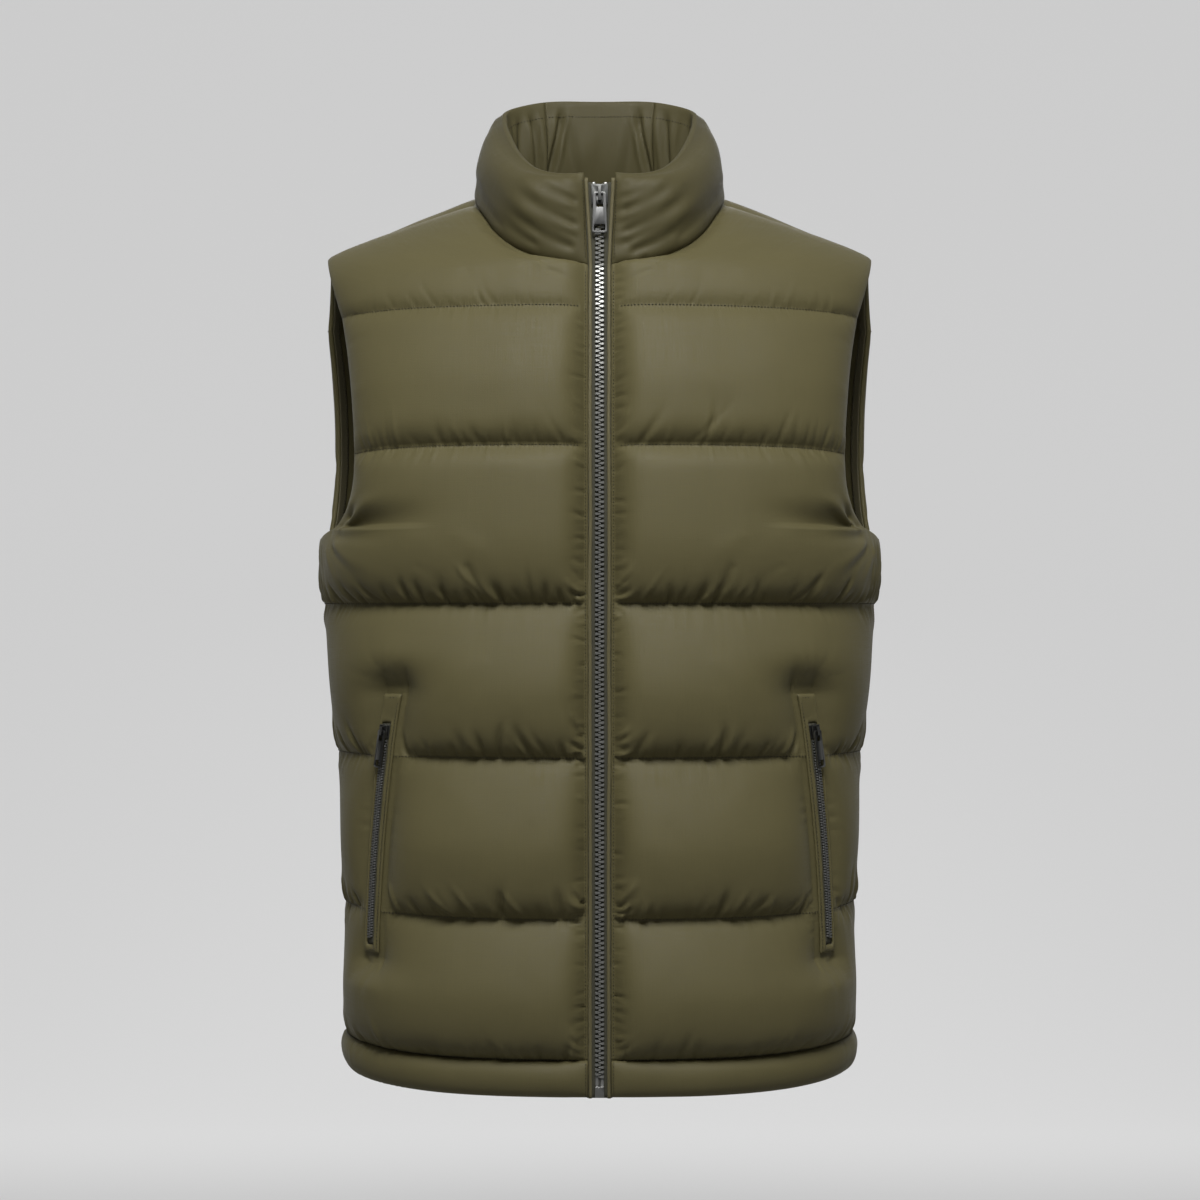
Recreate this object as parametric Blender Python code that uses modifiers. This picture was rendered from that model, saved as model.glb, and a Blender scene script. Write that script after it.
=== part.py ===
"""Puffer vest: sleeveless, quilted in level channels, with a padded stand-up collar, a full-length
centre-front zip, two slanting zipped hand pockets and a padded hem band.

The vest is hollow and filled out as when worn. Metres, +Z up. The wearer faces -Y, so +X is the
wearer's left. The origin is midway between the shoulders, level with the neck points, where the
wearer's shoulders carry the vest.

Every panel is a wall: a plain lining surface, and an outer surface that stands off it by the
padding, which is thin along each stitched line and full between the lines.
"""

import math

import bmesh
import bpy
import numpy as np
from mathutils import Matrix, Vector

MM = 0.001

# ---- Driving dimensions, in millimetres ---------------------------------------------------------
SEAM_GAP = 0.3            # between two pieces sewn together
SEAM_THICKNESS = 3.0      # shell, pressed padding and lining along a stitched line
FRONT_PUFF = 21.0         # how far the front channels stand off their seams
BACK_PUFF = 18.0
POCKET_BED = 3.0          # extra padding under a pocket, which lies flat

HEM_SEAM_Z = -655.0
HEM_BOTTOM_Z = -683.7
CHEST_SEAM_Z, YOKE_SEAM_Z = -199.0, -95.4
QUILT_LINES_Z = [HEM_SEAM_Z, -550.3, -430.3, -315.5, CHEST_SEAM_Z, YOKE_SEAM_Z]

# The lining's level cross-sections: half ovals of these half-widths and depths. A power of 2 is an
# ellipse, and a higher one is squarer. side_rise lifts the section near its sides.
SECTION_COLUMNS = ("z", "half_width", "front_depth", "back_depth", "front_power", "back_power",
                   "side_rise")
SECTIONS = [
    (-690.0, 190.0, 112.5, 110.5, 2.30, 2.30, 8.0),
    (-655.0, 193.8, 115.0, 110.0, 2.30, 2.30, 7.0),
    (-550.3, 195.3, 118.0, 106.0, 2.30, 2.35, 5.0),
    (-430.3, 200.4, 120.0, 104.5, 2.30, 2.40, 1.0),
    (-315.5, 211.3, 122.5, 110.0, 2.35, 2.50, 0.0),
    (-267.0, 215.0, 123.5, 115.0, 2.40, 2.60, 0.0),
    (-199.0, 218.0, 122.0, 121.0, 2.40, 2.80, -9.0),
    (-150.0, 219.5, 117.0, 122.5, 2.25, 2.90, -4.0),
    (-95.4, 220.0, 108.0, 119.0, 2.10, 3.00, -3.0),
]
# Half-widths to the armhole's edge, front and back, up to the yoke seam.
ARMHOLE_COLUMNS = ("z", "front_x", "back_x")
ARMHOLE = [
    (-267.0, 215.0, 215.0),
    (-258.0, 200.5, 212.4),
    (-248.0, 192.5, 211.2),
    (-235.0, 187.5, 210.2),
    (-220.0, 184.5, 209.4),
    (-207.0, 183.7, 209.0),
    (-199.0, 183.5, 208.8),
    (-160.0, 186.0, 209.6),
    (-125.0, 190.0, 211.8),
    (-95.4, 195.0, 214.5),
]
NECK_POINT = (95.5, 0.0, -5.6)         # where collar, front and back meet on the shoulder
SHOULDER_TIP = (211.0, 0.0, -50.0)
FRONT_EDGE_X = 8.7                     # the fronts' edges beside the zip
# Necklines and the centre back, as points x, y, z of the lining.
FRONT_NECKLINE = [(8.7, -101.0, -63.0), (31.0, -97.5, -60.5), (53.0, -90.5, -54.5),
                  (75.0, -74.0, -40.0), (89.5, -36.0, -18.0), NECK_POINT]
BACK_NECKLINE = [(0.0, 64.0, 16.0), (40.0, 58.5, 14.5), (70.0, 43.0, 9.0), (88.5, 22.0, 2.0),
                 NECK_POINT]
CENTRE_BACK = [(0.0, 119.0, -95.4), (0.0, 113.0, -55.0), (0.0, 96.0, -17.0), (0.0, 64.0, 16.0)]
NECK_CORNER_ROW = 2       # yoke rows from the yoke seam up to the collar at the centre front
NECK_ROWS = 5             # yoke rows along the front neckline
BACK_CORNER_ROW = 5
BACK_NECK_ROWS = 4

# Rows of points in each channel, as shares of its height.
CHANNEL_ROWS = [0.0, 0.08, 0.22, 0.42, 0.70, 1.0]
PUFF_FULLEST = 0.42       # how far up its channel the sagging padding is fullest
SEAM_FILLS = [0.0, 0.0, 0.0, 0.0, 0.70, 0.50]    # how full it stays beside each quilting seam
CHEST_SEAM_DIP, YOKE_SEAM_DIP = 0.38, 0.16       # how much of that their stitches pull in
GATHER_DEPTH = 1.5        # of the gathers that run up and down from each quilting seam
UNDERARM_ROWS_Z = [-315.5, -302.0, -285.0, -258.0, -248.0, -235.0, -220.0, -207.0, -199.0]
# The row that ends at the armhole dips to the side seam, and its last columns stop there.
ARMHOLE_CORNER_Z = -258.0
UNDERARM_DIP = [0.0, -7.0, -9.0]       # at the armhole's corner, half-way, and at the side seam
FRONT_UNDERARM_ARC, BACK_UNDERARM_ARC = 59.0, 36.0
SIDE_COLUMNS = 2
FACING_WIDTH = 10.0
FACING_NEAR, FACING_FAR = 1.4, 2.3     # behind the lining
FACING_DROP = 0.4                      # its width below the armhole, in rows

POCKET_COLUMNS = ("z", "x")            # the pocket slit, and the line it continues
POCKET_LINE = [(-690.0, 170.0), (-582.0, 169.0), (-540.0, 167.5), (-490.0, 164.5),
               (-430.3, 159.0), (-404.0, 156.0), (-382.0, 152.5), (-315.5, 142.0),
               (-267.0, 134.0), (-199.0, 124.0), (-95.4, 122.0)]
POCKET_TOP_Z = -383.0
POCKET_SLIT_TOP_Z = -405.0
POCKET_SLIT_BOTTOM_Z = -577.0
POCKET_BOTTOM_Z = -583.0
WELT_INWARD, WELT_OUTWARD = 12.0, 6.0   # from the middle of the slit, to centre front and to side
BED_COLUMN = 12           # the column at the flat bed's inner edge; the next is its outer edge
SLIT_HALF_WIDTH = 3.8
WELT_THICKNESS = 1.7
POCKET_TAPE_LIFT = 1.2    # the pocket's teeth over its bed

RIM_COLUMNS = ("around", "x", "y", "z", "bulge")   # around: 0 centre front, 1 shoulder, 2 centre back
COLLAR_RIM = [
    (0.00, 12.0, -97.0, 6.5, 1.0),
    (0.15, 24.0, -95.5, 6.0, 8.0),
    (0.40, 38.0, -89.5, 8.0, 14.0),
    (0.62, 50.0, -77.0, 14.0, 14.5),
    (0.85, 62.0, -52.0, 28.0, 14.0),
    (1.05, 70.5, -20.0, 46.0, 12.5),
    (1.30, 75.0, 12.0, 63.0, 11.0),
    (1.52, 72.0, 37.0, 75.5, 11.0),
    (1.72, 45.0, 54.0, 84.5, 11.0),
    (2.00, 0.0, 60.0, 86.0, 12.0),
]
COLLAR_SEAM_AROUND = 1.72              # the seam between the collar's side and back pieces
COLLAR_RIM_THICKNESS = 5.0
COLLAR_INNER_BULGE = 4.0
COLLAR_LEVELS = [0.0, 0.08, 0.18, 0.29, 0.40, 0.52, 0.64, 0.76, 0.88, 0.96]
# Drag folds that rise from the zip: soft troughs in the collar's outer side. Each has a place
# around, a level, its rise in level for each unit around, a half-width and a depth.
COLLAR_FOLDS = [(0.10, 0.62, 0.60, 0.11, 2.8), (0.10, 0.38, 0.66, 0.12, 3.2),
                (0.10, 0.15, 0.58, 0.10, 2.8)]

# The hem band's cross-section: out from the lining, down from the seam, and further out where the
# padding is full.
HEM_PROFILE = [(0.0, 0.0, 0.0), (3.0, 0.0, 0.0), (4.6, 2.5, 3.0), (5.2, 8.5, 5.8),
               (5.2, 15.5, 6.2), (4.6, 22.0, 5.0), (3.2, 26.6, 2.8), (1.2, 28.2, 0.6),
               (0.0, 25.5, 0.0)]

LIP_INNER_X, LIP_OUTER_X = 5.6, 8.4    # the folded edge that borders the zip
LIP_FLARE = 3.2                        # how far the lips part around the slider
LIP_BACK, LIP_FRONT = 1.6, 3.9         # in front of the lining
TAPE_INNER_X = 3.8
TAPE_BACK, TAPE_FRONT = 0.4, 1.2
TEETH_WIDTH = 3.35
TEETH_MIDDLE_GAP = 0.15
TEETH_BACK, TEETH_FRONT = 0.0, 3.2
TEETH_TOP_Z, TEETH_BOTTOM_Z = -17.0, -664.0
ZIP_TOP_Z = 4.0

OLIVE = (0.118, 0.103, 0.052, 1.0)
OLIVE_DARK = (0.088, 0.077, 0.040, 1.0)
TAPE_GREEN = (0.050, 0.055, 0.040, 1.0)
GUNMETAL = (0.16, 0.16, 0.155, 1.0)


# ---- Curves ---------------------------------------------------------------------------------------
def through(knots, values, at):
    """A smooth curve through the values at the knots, read at the given places. Each stretch is a
    cubic whose end slopes are the means of the chords on either side."""
    knots = np.asarray(knots, float)
    values = np.asarray(values, float).reshape(len(knots), -1)
    at = np.atleast_1d(np.asarray(at, float))
    chord = np.diff(values, axis=0) / np.diff(knots)[:, None]
    slope = np.vstack([chord[:1], (chord[1:] + chord[:-1]) / 2, chord[-1:]])
    i = np.clip(np.searchsorted(knots, at, side="right") - 1, 0, len(knots) - 2)
    h = (knots[i + 1] - knots[i])[:, None]
    t = ((at - knots[i]) / h[:, 0])[:, None]
    return (values[i] * (1 + 2 * t) * (1 - t) ** 2 + slope[i] * h * t * (1 - t) ** 2
            + values[i + 1] * t * t * (3 - 2 * t) + slope[i + 1] * h * t * t * (t - 1))


def column(table, names, name, at):
    """One column of a table whose first column holds the knots, as a smooth function."""
    rows = np.array(table, float)
    return through(rows[:, 0], rows[:, names.index(name)], at)[:, 0]


def along(points, places):
    """The points' own smooth curve, read at places counted in points."""
    return through(np.arange(len(points)), points, places)


def smoothstep(x):
    x = np.clip(x, 0.0, 1.0)
    return x * x * (3 - 2 * x)


def unit(vectors):
    return vectors / np.linalg.norm(vectors, axis=-1, keepdims=True)


# ---- The lining surface ---------------------------------------------------------------------------
def hoop(z, from_x, to_x, is_front):
    """Closely spaced points along one level half oval, from one half-width to another."""
    width = column(SECTIONS, SECTION_COLUMNS, "half_width", z)[0]
    side = "front" if is_front else "back"
    depth = column(SECTIONS, SECTION_COLUMNS, side + "_depth", z)[0]
    power = column(SECTIONS, SECTION_COLUMNS, side + "_power", z)[0]
    start, end = (math.asin(min(1.0, x / width) ** (power / 2)) for x in (from_x, to_x))
    angle = np.linspace(start, end, 600)
    x = width * np.sin(angle) ** (2 / power)
    y = depth * np.clip(np.cos(angle), 0, 1) ** (2 / power)
    rise = column(SECTIONS, SECTION_COLUMNS, "side_rise", z)[0] * (x / width) ** 5
    return np.stack([x, -y if is_front else y, z + rise], axis=1)


def lengths(points):
    steps = np.linalg.norm(np.diff(points, axis=0), axis=1)
    return np.concatenate([[0.0], np.cumsum(steps)])


def level_row(z, is_front):
    """One hoop of a panel, and the length along it to the line of the pocket slit."""
    end_x = 1e3
    if z > ARMHOLE_CORNER_Z:
        end_x = column(ARMHOLE, ARMHOLE_COLUMNS, "front_x" if is_front else "back_x", z)[0]
    points = hoop(z, FRONT_EDGE_X if is_front else 0.0, end_x, is_front)
    pocket_x = column(POCKET_LINE, POCKET_COLUMNS, "x", z)[0]
    return points, float(np.interp(pocket_x, points[:, 0], lengths(points)))


def side_columns(z, start, length, arc):
    """Columns from a place to the side seam. Near the armhole they line up with its corner."""
    even = start + (length - start) * np.array([0.2, 0.4, 0.6, 0.8])
    corner = length - arc
    lined_up = np.array([(start + corner - FACING_WIDTH) / 2, corner - FACING_WIDTH, corner,
                         length - arc / 2])
    near = smoothstep((z + 400.0) / 110.0)
    return even * (1 - near) + lined_up * near


def front_columns(z, length, slit):
    """Where the fronts' columns of points lie, as lengths from the zip edge."""
    before = np.linspace(17.0, slit - 27.0, BED_COLUMN - 3)[1:]
    start = slit + 21.0
    bed = [slit - WELT_INWARD - 0.6, slit + WELT_OUTWARD + 0.6, start]
    if z > ARMHOLE_CORNER_Z:
        after = np.linspace(start, length - FACING_WIDTH, 3)[1:]
        after = np.concatenate([after, [length, length]])
    else:
        after = side_columns(z, start, length, FRONT_UNDERARM_ARC)
    return np.concatenate([[0.0, 3.3, 8.0, 17.0], before, bed, after, [length]])


def back_columns(z, length, _slit):
    """Where the half back's columns of points lie, as lengths from the centre back."""
    if z > ARMHOLE_CORNER_Z:
        return np.concatenate([np.linspace(0.0, length - FACING_WIDTH, 13), [length] * 3])
    start = (length - BACK_UNDERARM_ARC - FACING_WIDTH) * 10 / 12
    before = np.linspace(0.0, start, 11)
    return np.concatenate([before, side_columns(z, start, length, BACK_UNDERARM_ARC), [length]])


def body_rows_z():
    """The heights of the level rows, from the hem seam to the yoke seam."""
    heights = [HEM_SEAM_Z]
    for low, high in zip(QUILT_LINES_Z, QUILT_LINES_Z[1:]):
        if low == UNDERARM_ROWS_Z[0]:
            heights += UNDERARM_ROWS_Z[1:]
        else:
            heights += [low + share * (high - low) for share in CHANNEL_ROWS[1:]]
    return heights


def underarm_row():
    return body_rows_z().index(ARMHOLE_CORNER_Z)


def row_places(z, is_front):
    """A hoop's points, and the places of the columns along it."""
    points, slit = level_row(z, is_front)
    length = lengths(points)[-1]
    places = (front_columns if is_front else back_columns)(z, length, slit)
    return points, np.minimum(places, length - (0 if z > ARMHOLE_CORNER_Z else SEAM_GAP / 2))


def body_rows(is_front):
    """Level rows of the lining surface, as an array of rows, columns and coordinates."""
    rows = []
    for z in body_rows_z():
        points, places = row_places(z, is_front)
        row = read_along(points, places)
        if z == ARMHOLE_CORNER_Z:
            for k, dip in enumerate(UNDERARM_DIP):
                lower, lower_places = row_places(z + dip, is_front)
                col = k - len(UNDERARM_DIP)
                row[col] = read_along(lower, lower_places[col:][:1])[0]
        rows.append(row)
    return np.array(rows)


def read_along(points, places):
    """The points of a polyline at these lengths along it."""
    walked = lengths(points)
    return np.stack([np.interp(places, walked, points[:, k]) for k in range(3)], axis=1)


def yoke_rows(seam_row, is_front):
    """Rows from the yoke seam over the shoulder to its ridge: a patch between four curves. Each
    column arches up and back as a quarter ellipse, and is moved to meet the neckline."""
    if is_front:
        edge = np.vstack([along(np.array([seam_row[0], FRONT_NECKLINE[0]]),
                                np.linspace(0, 1, NECK_CORNER_ROW + 1)),
                          along(FRONT_NECKLINE, np.linspace(0, len(FRONT_NECKLINE) - 1,
                                                            NECK_ROWS + 1))[1:]])
    else:
        edge = np.vstack([along(CENTRE_BACK, np.linspace(0, len(CENTRE_BACK) - 1,
                                                         BACK_CORNER_ROW + 1)),
                          along(BACK_NECKLINE, np.linspace(0, len(BACK_NECKLINE) - 1,
                                                           BACK_NECK_ROWS + 1))[1:]])
    count = len(edge) - 1
    walked = lengths(seam_row)
    share = walked / walked[-1]
    half_gap = (-1 if is_front else 1) * SEAM_GAP / 2
    neck, tip = (np.array(p) + [0, half_gap, 0] for p in (NECK_POINT, SHOULDER_TIP))
    edge[-1] = neck
    ridge = neck + share[:, None] * (tip - neck)
    rows = []
    for k in range(1, count + 1):
        angle = math.pi / 2 * k / count
        rise, reach = math.sin(angle), math.cos(angle)
        arch = np.stack([seam_row[:, 0] + (ridge[:, 0] - seam_row[:, 0]) * rise,
                         ridge[:, 1] + (seam_row[:, 1] - ridge[:, 1]) * reach,
                         seam_row[:, 2] + (ridge[:, 2] - seam_row[:, 2]) * rise], axis=1)
        rows.append(arch + (1 - share)[:, None] * (edge[k] - arch[0]))
    return np.array(rows)


def lining(is_front):
    """The lining surface of the wearer's left front, or of the left half of the back."""
    level = body_rows(is_front)
    yoke = yoke_rows(level[-1][:-SIDE_COLUMNS], is_front)
    beyond = np.repeat(yoke[:, -1:], SIDE_COLUMNS, axis=1)
    return np.concatenate([level, np.concatenate([yoke, beyond], axis=1)])


def normals(grid, is_front):
    """Unit vectors out of the surface. On the side and shoulder seams they have no Y part, so
    that front and back meet face to face."""
    start = underarm_row()
    main, side = grid[:, :-SIDE_COLUMNS], grid[:start + 1]
    out = np.zeros_like(grid)
    out[:start + 1] = facing_out(side, is_front)
    out[:, :-SIDE_COLUMNS - 1] = facing_out(main, is_front)[:, :-1]
    corner = facing_out(main, is_front)[:, -1]
    out[:start + 1, -SIDE_COLUMNS - 1] += corner[:start + 1]
    out[start + 1:, -SIDE_COLUMNS - 1:] = corner[start + 1:, None]
    out[:start + 1, -1, 1] = 0
    out[-1, :, 1] = 0
    if not is_front:
        out[:corner_row(False) + 1, 0, 0] = 0
    return unit(out)


def facing_out(grid, is_front):
    """The unit normals of a grid of points, from the steps to the points around each."""
    turned = np.cross(np.gradient(grid, axis=1), np.gradient(grid, axis=0))
    return unit(turned * (1 if is_front else -1))


def corner_row(is_front):
    """The row at which the panel's inner edge turns from the centre line into the neckline."""
    return len(body_rows_z()) - 1 + (NECK_CORNER_ROW if is_front else BACK_CORNER_ROW)


# ---- The padding ----------------------------------------------------------------------------------
def channel_places():
    """For each level row below the yoke seam, its channel and how far up the channel it lies."""
    places = []
    levels = body_rows_z()
    for k, (low, high) in enumerate(zip(QUILT_LINES_Z, QUILT_LINES_Z[1:])):
        places += [(k, (z - low) / (high - low)) for z in levels if low <= z < high]
    return np.array(places)


def puff_profile(channel, share):
    """How full the padding is between two seams. It sags: it turns under steeply to the lower
    seam and slopes gently up to the next."""
    low, high = np.array(SEAM_FILLS)[[channel, channel + 1]]
    under = np.clip(share / PUFF_FULLEST, 0, 1)
    slope = np.clip((share - PUFF_FULLEST) / (1 - PUFF_FULLEST), 0, 1)
    bulging = low + (1 - low) * (1 - (1 - under) ** 2) ** 0.55
    return np.where(share < PUFF_FULLEST, bulging, 1 - (1 - high) * slope ** 1.6)


def from_seam(grid, z):
    """Each row's distance up or down the panel from the quilting seam at a height."""
    climbed = lengths(grid[:, 4])
    return abs(climbed - climbed[body_rows_z().index(z)])


def gathers(share, is_front, cols):
    """Small ridges and hollows by turns, column by column, uneven in size, which fade out up and
    down from each quilting seam."""
    share = share[:, None]
    near = np.exp(-share / 0.18) + 0.5 * np.exp(-(1 - share) / 0.12)
    near = near * (share > 0.01) * (share < 0.99)
    channel = np.cumsum(share < 0.01, axis=0)
    col = np.arange(cols)[None, :]
    uneven = 0.6 + 0.4 * np.sin(2.1 * col + 1.7 * channel)
    first, last = (4, BED_COLUMN - 1) if is_front else (1, cols - 6)
    inside = (col >= first) & (col <= last) & (channel < len(QUILT_LINES_Z))
    return GATHER_DEPTH * near * uneven * (-1.0) ** col * inside


def thickness(grid, is_front):
    """The wall's thickness at each point of a panel, in millimetres."""
    channel, share = channel_places().T
    over = np.linspace(0, 1, len(grid) - len(share))
    walked = np.array([lengths(row) for row in grid])
    underarm = underarm_row()
    to_side = walked[:, -1:] - walked
    at_side = 0.04 * (1 - np.exp(-to_side / 4.0)) + 0.96 * smoothstep(to_side / 112.0)
    blend = smoothstep((np.arange(len(grid)) - underarm) / 2.0)[:, None]
    armhole = np.concatenate([grid[underarm, :-SIDE_COLUMNS - 1:-1],
                              grid[underarm:, -SIDE_COLUMNS - 1]])
    edge_points = along(armhole, np.linspace(0, len(armhole) - 1, 90))
    to_armhole = np.linalg.norm(grid[:, :, None] - edge_points, axis=-1).min(axis=-1)
    side = (at_side * (1 - blend) + blend) * (1 - np.exp(-to_armhole / 18.0))
    on_yoke = SEAM_FILLS[-1] * (1 - over ** 4) ** 0.5 * (1 - 0.3 * smoothstep(over))
    full = np.concatenate([puff_profile(channel.astype(int), share), on_yoke])
    for z, dip in ((CHEST_SEAM_Z, CHEST_SEAM_DIP), (YOKE_SEAM_Z, YOKE_SEAM_DIP)):
        full = full * (1 - dip * np.exp(-from_seam(grid, z) / 4.0))
    full = full[:, None] * side
    ruffled = gathers(np.concatenate([share, over]), is_front, grid.shape[1]) * side
    if not is_front:
        at_neck = np.where(np.arange(len(grid)) > corner_row(False), 0.0, 1.0)[:, None]
        edge = 1 - (1 - at_neck) * np.exp(-walked / 14.0)
        return SEAM_THICKNESS + BACK_PUFF * full * edge + ruffled
    edge = 1 - np.exp(-np.clip(walked - 3.3, 0, None) / 13.0)
    z = grid[:, :, 2]
    in_pocket = (smoothstep((z - POCKET_BOTTOM_Z + 28.0) / 25.0)
                 * smoothstep((POCKET_TOP_Z + 22.0 - z) / 20.0))
    bed_edges = walked[:, BED_COLUMN:BED_COLUMN + 2]
    from_bed = np.clip(np.maximum(bed_edges[:, :1] - walked, walked - bed_edges[:, 1:]), 0, None)
    beside = 1 - in_pocket * np.exp(-from_bed / 15.0)
    bed = POCKET_BED * in_pocket * (from_bed <= 1e-9)
    return SEAM_THICKNESS + FRONT_PUFF * full * edge * beside + bed + ruffled * edge * beside


class Panel:
    """A quilted panel on the wearer's left: its lining, its outer points and its normals."""

    def __init__(self, is_front):
        self.is_front = is_front
        self.inner = lining(is_front)
        self.normal = normals(self.inner, is_front)
        self.outer = self.inner + self.normal * thickness(self.inner, is_front)[:, :, None]

    def at(self, layer, row, col):
        """A point of a layer between its grid points, on the flat faces between them."""
        grid = getattr(self, layer)
        i = int(min(math.floor(row), grid.shape[0] - 2))
        j = int(min(math.floor(col), grid.shape[1] - 2))
        v, u = row - i, col - j
        return ((grid[i, j] * (1 - u) + grid[i, j + 1] * u) * (1 - v)
                + (grid[i + 1, j] * (1 - u) + grid[i + 1, j + 1] * u) * v)

    def row_of(self, z):
        """The row, with its fraction, at a height below the yoke."""
        return float(np.interp(z, body_rows_z(), np.arange(len(body_rows_z()))))


# ---- Meshes ---------------------------------------------------------------------------------------
def material(name, colour, roughness, metallic=0.0):
    made = bpy.data.materials.get(name) or bpy.data.materials.new(name)
    made.use_nodes = True
    shader = made.node_tree.nodes["Principled BSDF"]
    shader.inputs["Base Color"].default_value = colour
    shader.inputs["Roughness"].default_value = roughness
    shader.inputs["Metallic"].default_value = metallic
    return made


def add_object(name, mesh, finish, collection):
    mesh.materials.append(finish)
    made = bpy.data.objects.new(name, mesh)
    collection.objects.link(made)
    return made


def mirrored(points):
    return points * np.array([-1, 1, 1])


def wall(name, inner, outer, finish, collection, present=None, open_rows=0):
    """A wall between two grids of points, in millimetres. Cells that aren't present are holes.
    open_rows leaves the first column's end open that far up, for a mirrored half."""
    rows, cols = inner.shape[:2]
    if present is None:
        present = np.ones((rows - 1, cols - 1), bool)
    points = np.concatenate([outer.reshape(-1, 3), inner.reshape(-1, 3)]) * MM

    def number(layer, i, j):
        return layer * rows * cols + i * cols + j

    faces = []
    for i in range(rows - 1):
        for j in range(cols - 1):
            if not present[i, j]:
                continue
            corners = [(i, j), (i, j + 1), (i + 1, j + 1), (i + 1, j)]
            faces.append([number(0, *c) for c in corners])
            faces.append([number(1, *c) for c in reversed(corners)])
            beyond = [(i - 1, j), (i, j + 1), (i + 1, j), (i, j - 1)]
            for k, (bi, bj) in enumerate(beyond):
                inside = 0 <= bi < rows - 1 and 0 <= bj < cols - 1 and present[bi, bj]
                if inside or (bj < 0 and i < open_rows):
                    continue
                a, b = corners[k], corners[(k + 1) % 4]
                faces.append([number(0, *b), number(0, *a), number(1, *a), number(1, *b)])
    return solid(name, points, faces, finish, collection)


def solid(name, points, faces, finish, collection):
    """A mesh object in metres, of triangles that all face out, shaded smooth."""
    mesh = bpy.data.meshes.new(name)
    mesh.from_pydata([tuple(p) for p in points], [], faces)
    work = bmesh.new()
    work.from_mesh(mesh)
    loose = [v for v in work.verts if not v.link_faces]
    bmesh.ops.delete(work, geom=loose, context="VERTS")
    bmesh.ops.recalc_face_normals(work, faces=work.faces)
    bmesh.ops.triangulate(work, faces=work.faces, quad_method="FIXED")
    work.to_mesh(mesh)
    work.free()
    mesh.shade_smooth()
    mesh.set_sharp_from_angle(angle=math.radians(50))
    return add_object(name, mesh, finish, collection)


def mirror_copy(source, name, collection):
    """The same piece for the wearer's right: its mirror image in X."""
    mesh = source.data.copy()
    mesh.name = name
    mesh.transform(Matrix.Diagonal((-1, 1, 1, 1)))
    mesh.flip_normals()
    made = bpy.data.objects.new(name, mesh)
    collection.objects.link(made)
    return made


def tube(name, rings, finish, collection):
    """A closed solid through rings of points in millimetres, with flat ends."""
    rings = np.asarray(rings, float)
    count, sides = rings.shape[:2]
    faces = [[i * sides + k, i * sides + (k + 1) % sides,
              (i + 1) * sides + (k + 1) % sides, (i + 1) * sides + k]
             for i in range(count - 1) for k in range(sides)]
    faces.append(list(range(sides))[::-1])
    faces.append([(count - 1) * sides + k for k in range(sides)])
    return solid(name, rings.reshape(-1, 3) * MM, faces, finish, collection)


def ring_band(name, rings, finish, collection):
    """A closed band through rings of points in millimetres: the last ring meets the first."""
    rings = np.asarray(rings, float)
    count, sides = rings.shape[:2]
    faces = [[i * sides + k, i * sides + (k + 1) % sides,
              (i + 1) % count * sides + (k + 1) % sides, (i + 1) % count * sides + k]
             for i in range(count) for k in range(sides)]
    return solid(name, rings.reshape(-1, 3) * MM, faces, finish, collection)


# ---- Fronts, back and hem -------------------------------------------------------------------------
def panel_cells(panel):
    """Which cells of a panel's grid are cloth: all but those beyond the armhole's edge."""
    rows, cols = panel.inner.shape[:2]
    present = np.ones((rows - 1, cols - 1), bool)
    present[underarm_row():, -SIDE_COLUMNS:] = False
    return present


def make_fronts(front, shell, collection):
    left = wall("front_left", front.inner, front.outer, shell, collection, panel_cells(front))
    mirror_copy(left, "front_right", collection)


def make_back(back, shell, collection):
    half = wall("back", back.inner, back.outer, shell, collection, panel_cells(back),
                corner_row(False))
    add_mirror(half)


def add_mirror(half):
    mirror = half.modifiers.new("other half", "MIRROR")
    mirror.merge_threshold = 0.00005
    return mirror


def hem_rings(panel):
    """Rings of the hem band under a panel: one at each column of the hem seam. The padding is
    fullest at the centre and flatter at the side seam and beside the zip."""
    walked = lengths(panel.inner[0])
    fullness = 0.35 + 0.65 * smoothstep((walked[-1] - walked) / 90.0)
    if panel.is_front:
        fullness *= 0.25 + 0.75 * smoothstep(walked / 20.0)
    rings = []
    for place, full in zip(range(len(walked)), fullness):
        ring = []
        for out, down, puffed in HEM_PROFILE:
            z = HEM_SEAM_Z - SEAM_GAP - down
            base = section_point(panel, place, z)
            outward = panel.normal[0, place] * np.array([1, 1, 0])
            ring.append(base + unit(outward) * (out + puffed * full))
        rings.append(ring)
    return np.array(rings)


def section_point(panel, place, z):
    """The lining surface below a column of the hem seam, at another height."""
    points, slit = level_row(z, panel.is_front)
    walked = lengths(points)
    seam = lengths(panel.inner[0])
    at = min(seam[place] / seam[-1] * walked[-1], walked[-1] - SEAM_GAP / 2)
    found = np.array([np.interp(at, walked, points[:, k]) for k in range(3)])
    if place == 0:
        found[0] = panel.inner[0, 0, 0]
    return found


def make_hem(front, back, shell, collection):
    left = tube("hem_front_left", hem_rings(front), shell, collection)
    mirror_copy(left, "hem_front_right", collection)
    half = hem_rings(back)
    half[0, :, 0] = 0
    whole = np.concatenate([mirrored(half[:0:-1]), half])
    tube("hem_back", whole, shell, collection)


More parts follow.
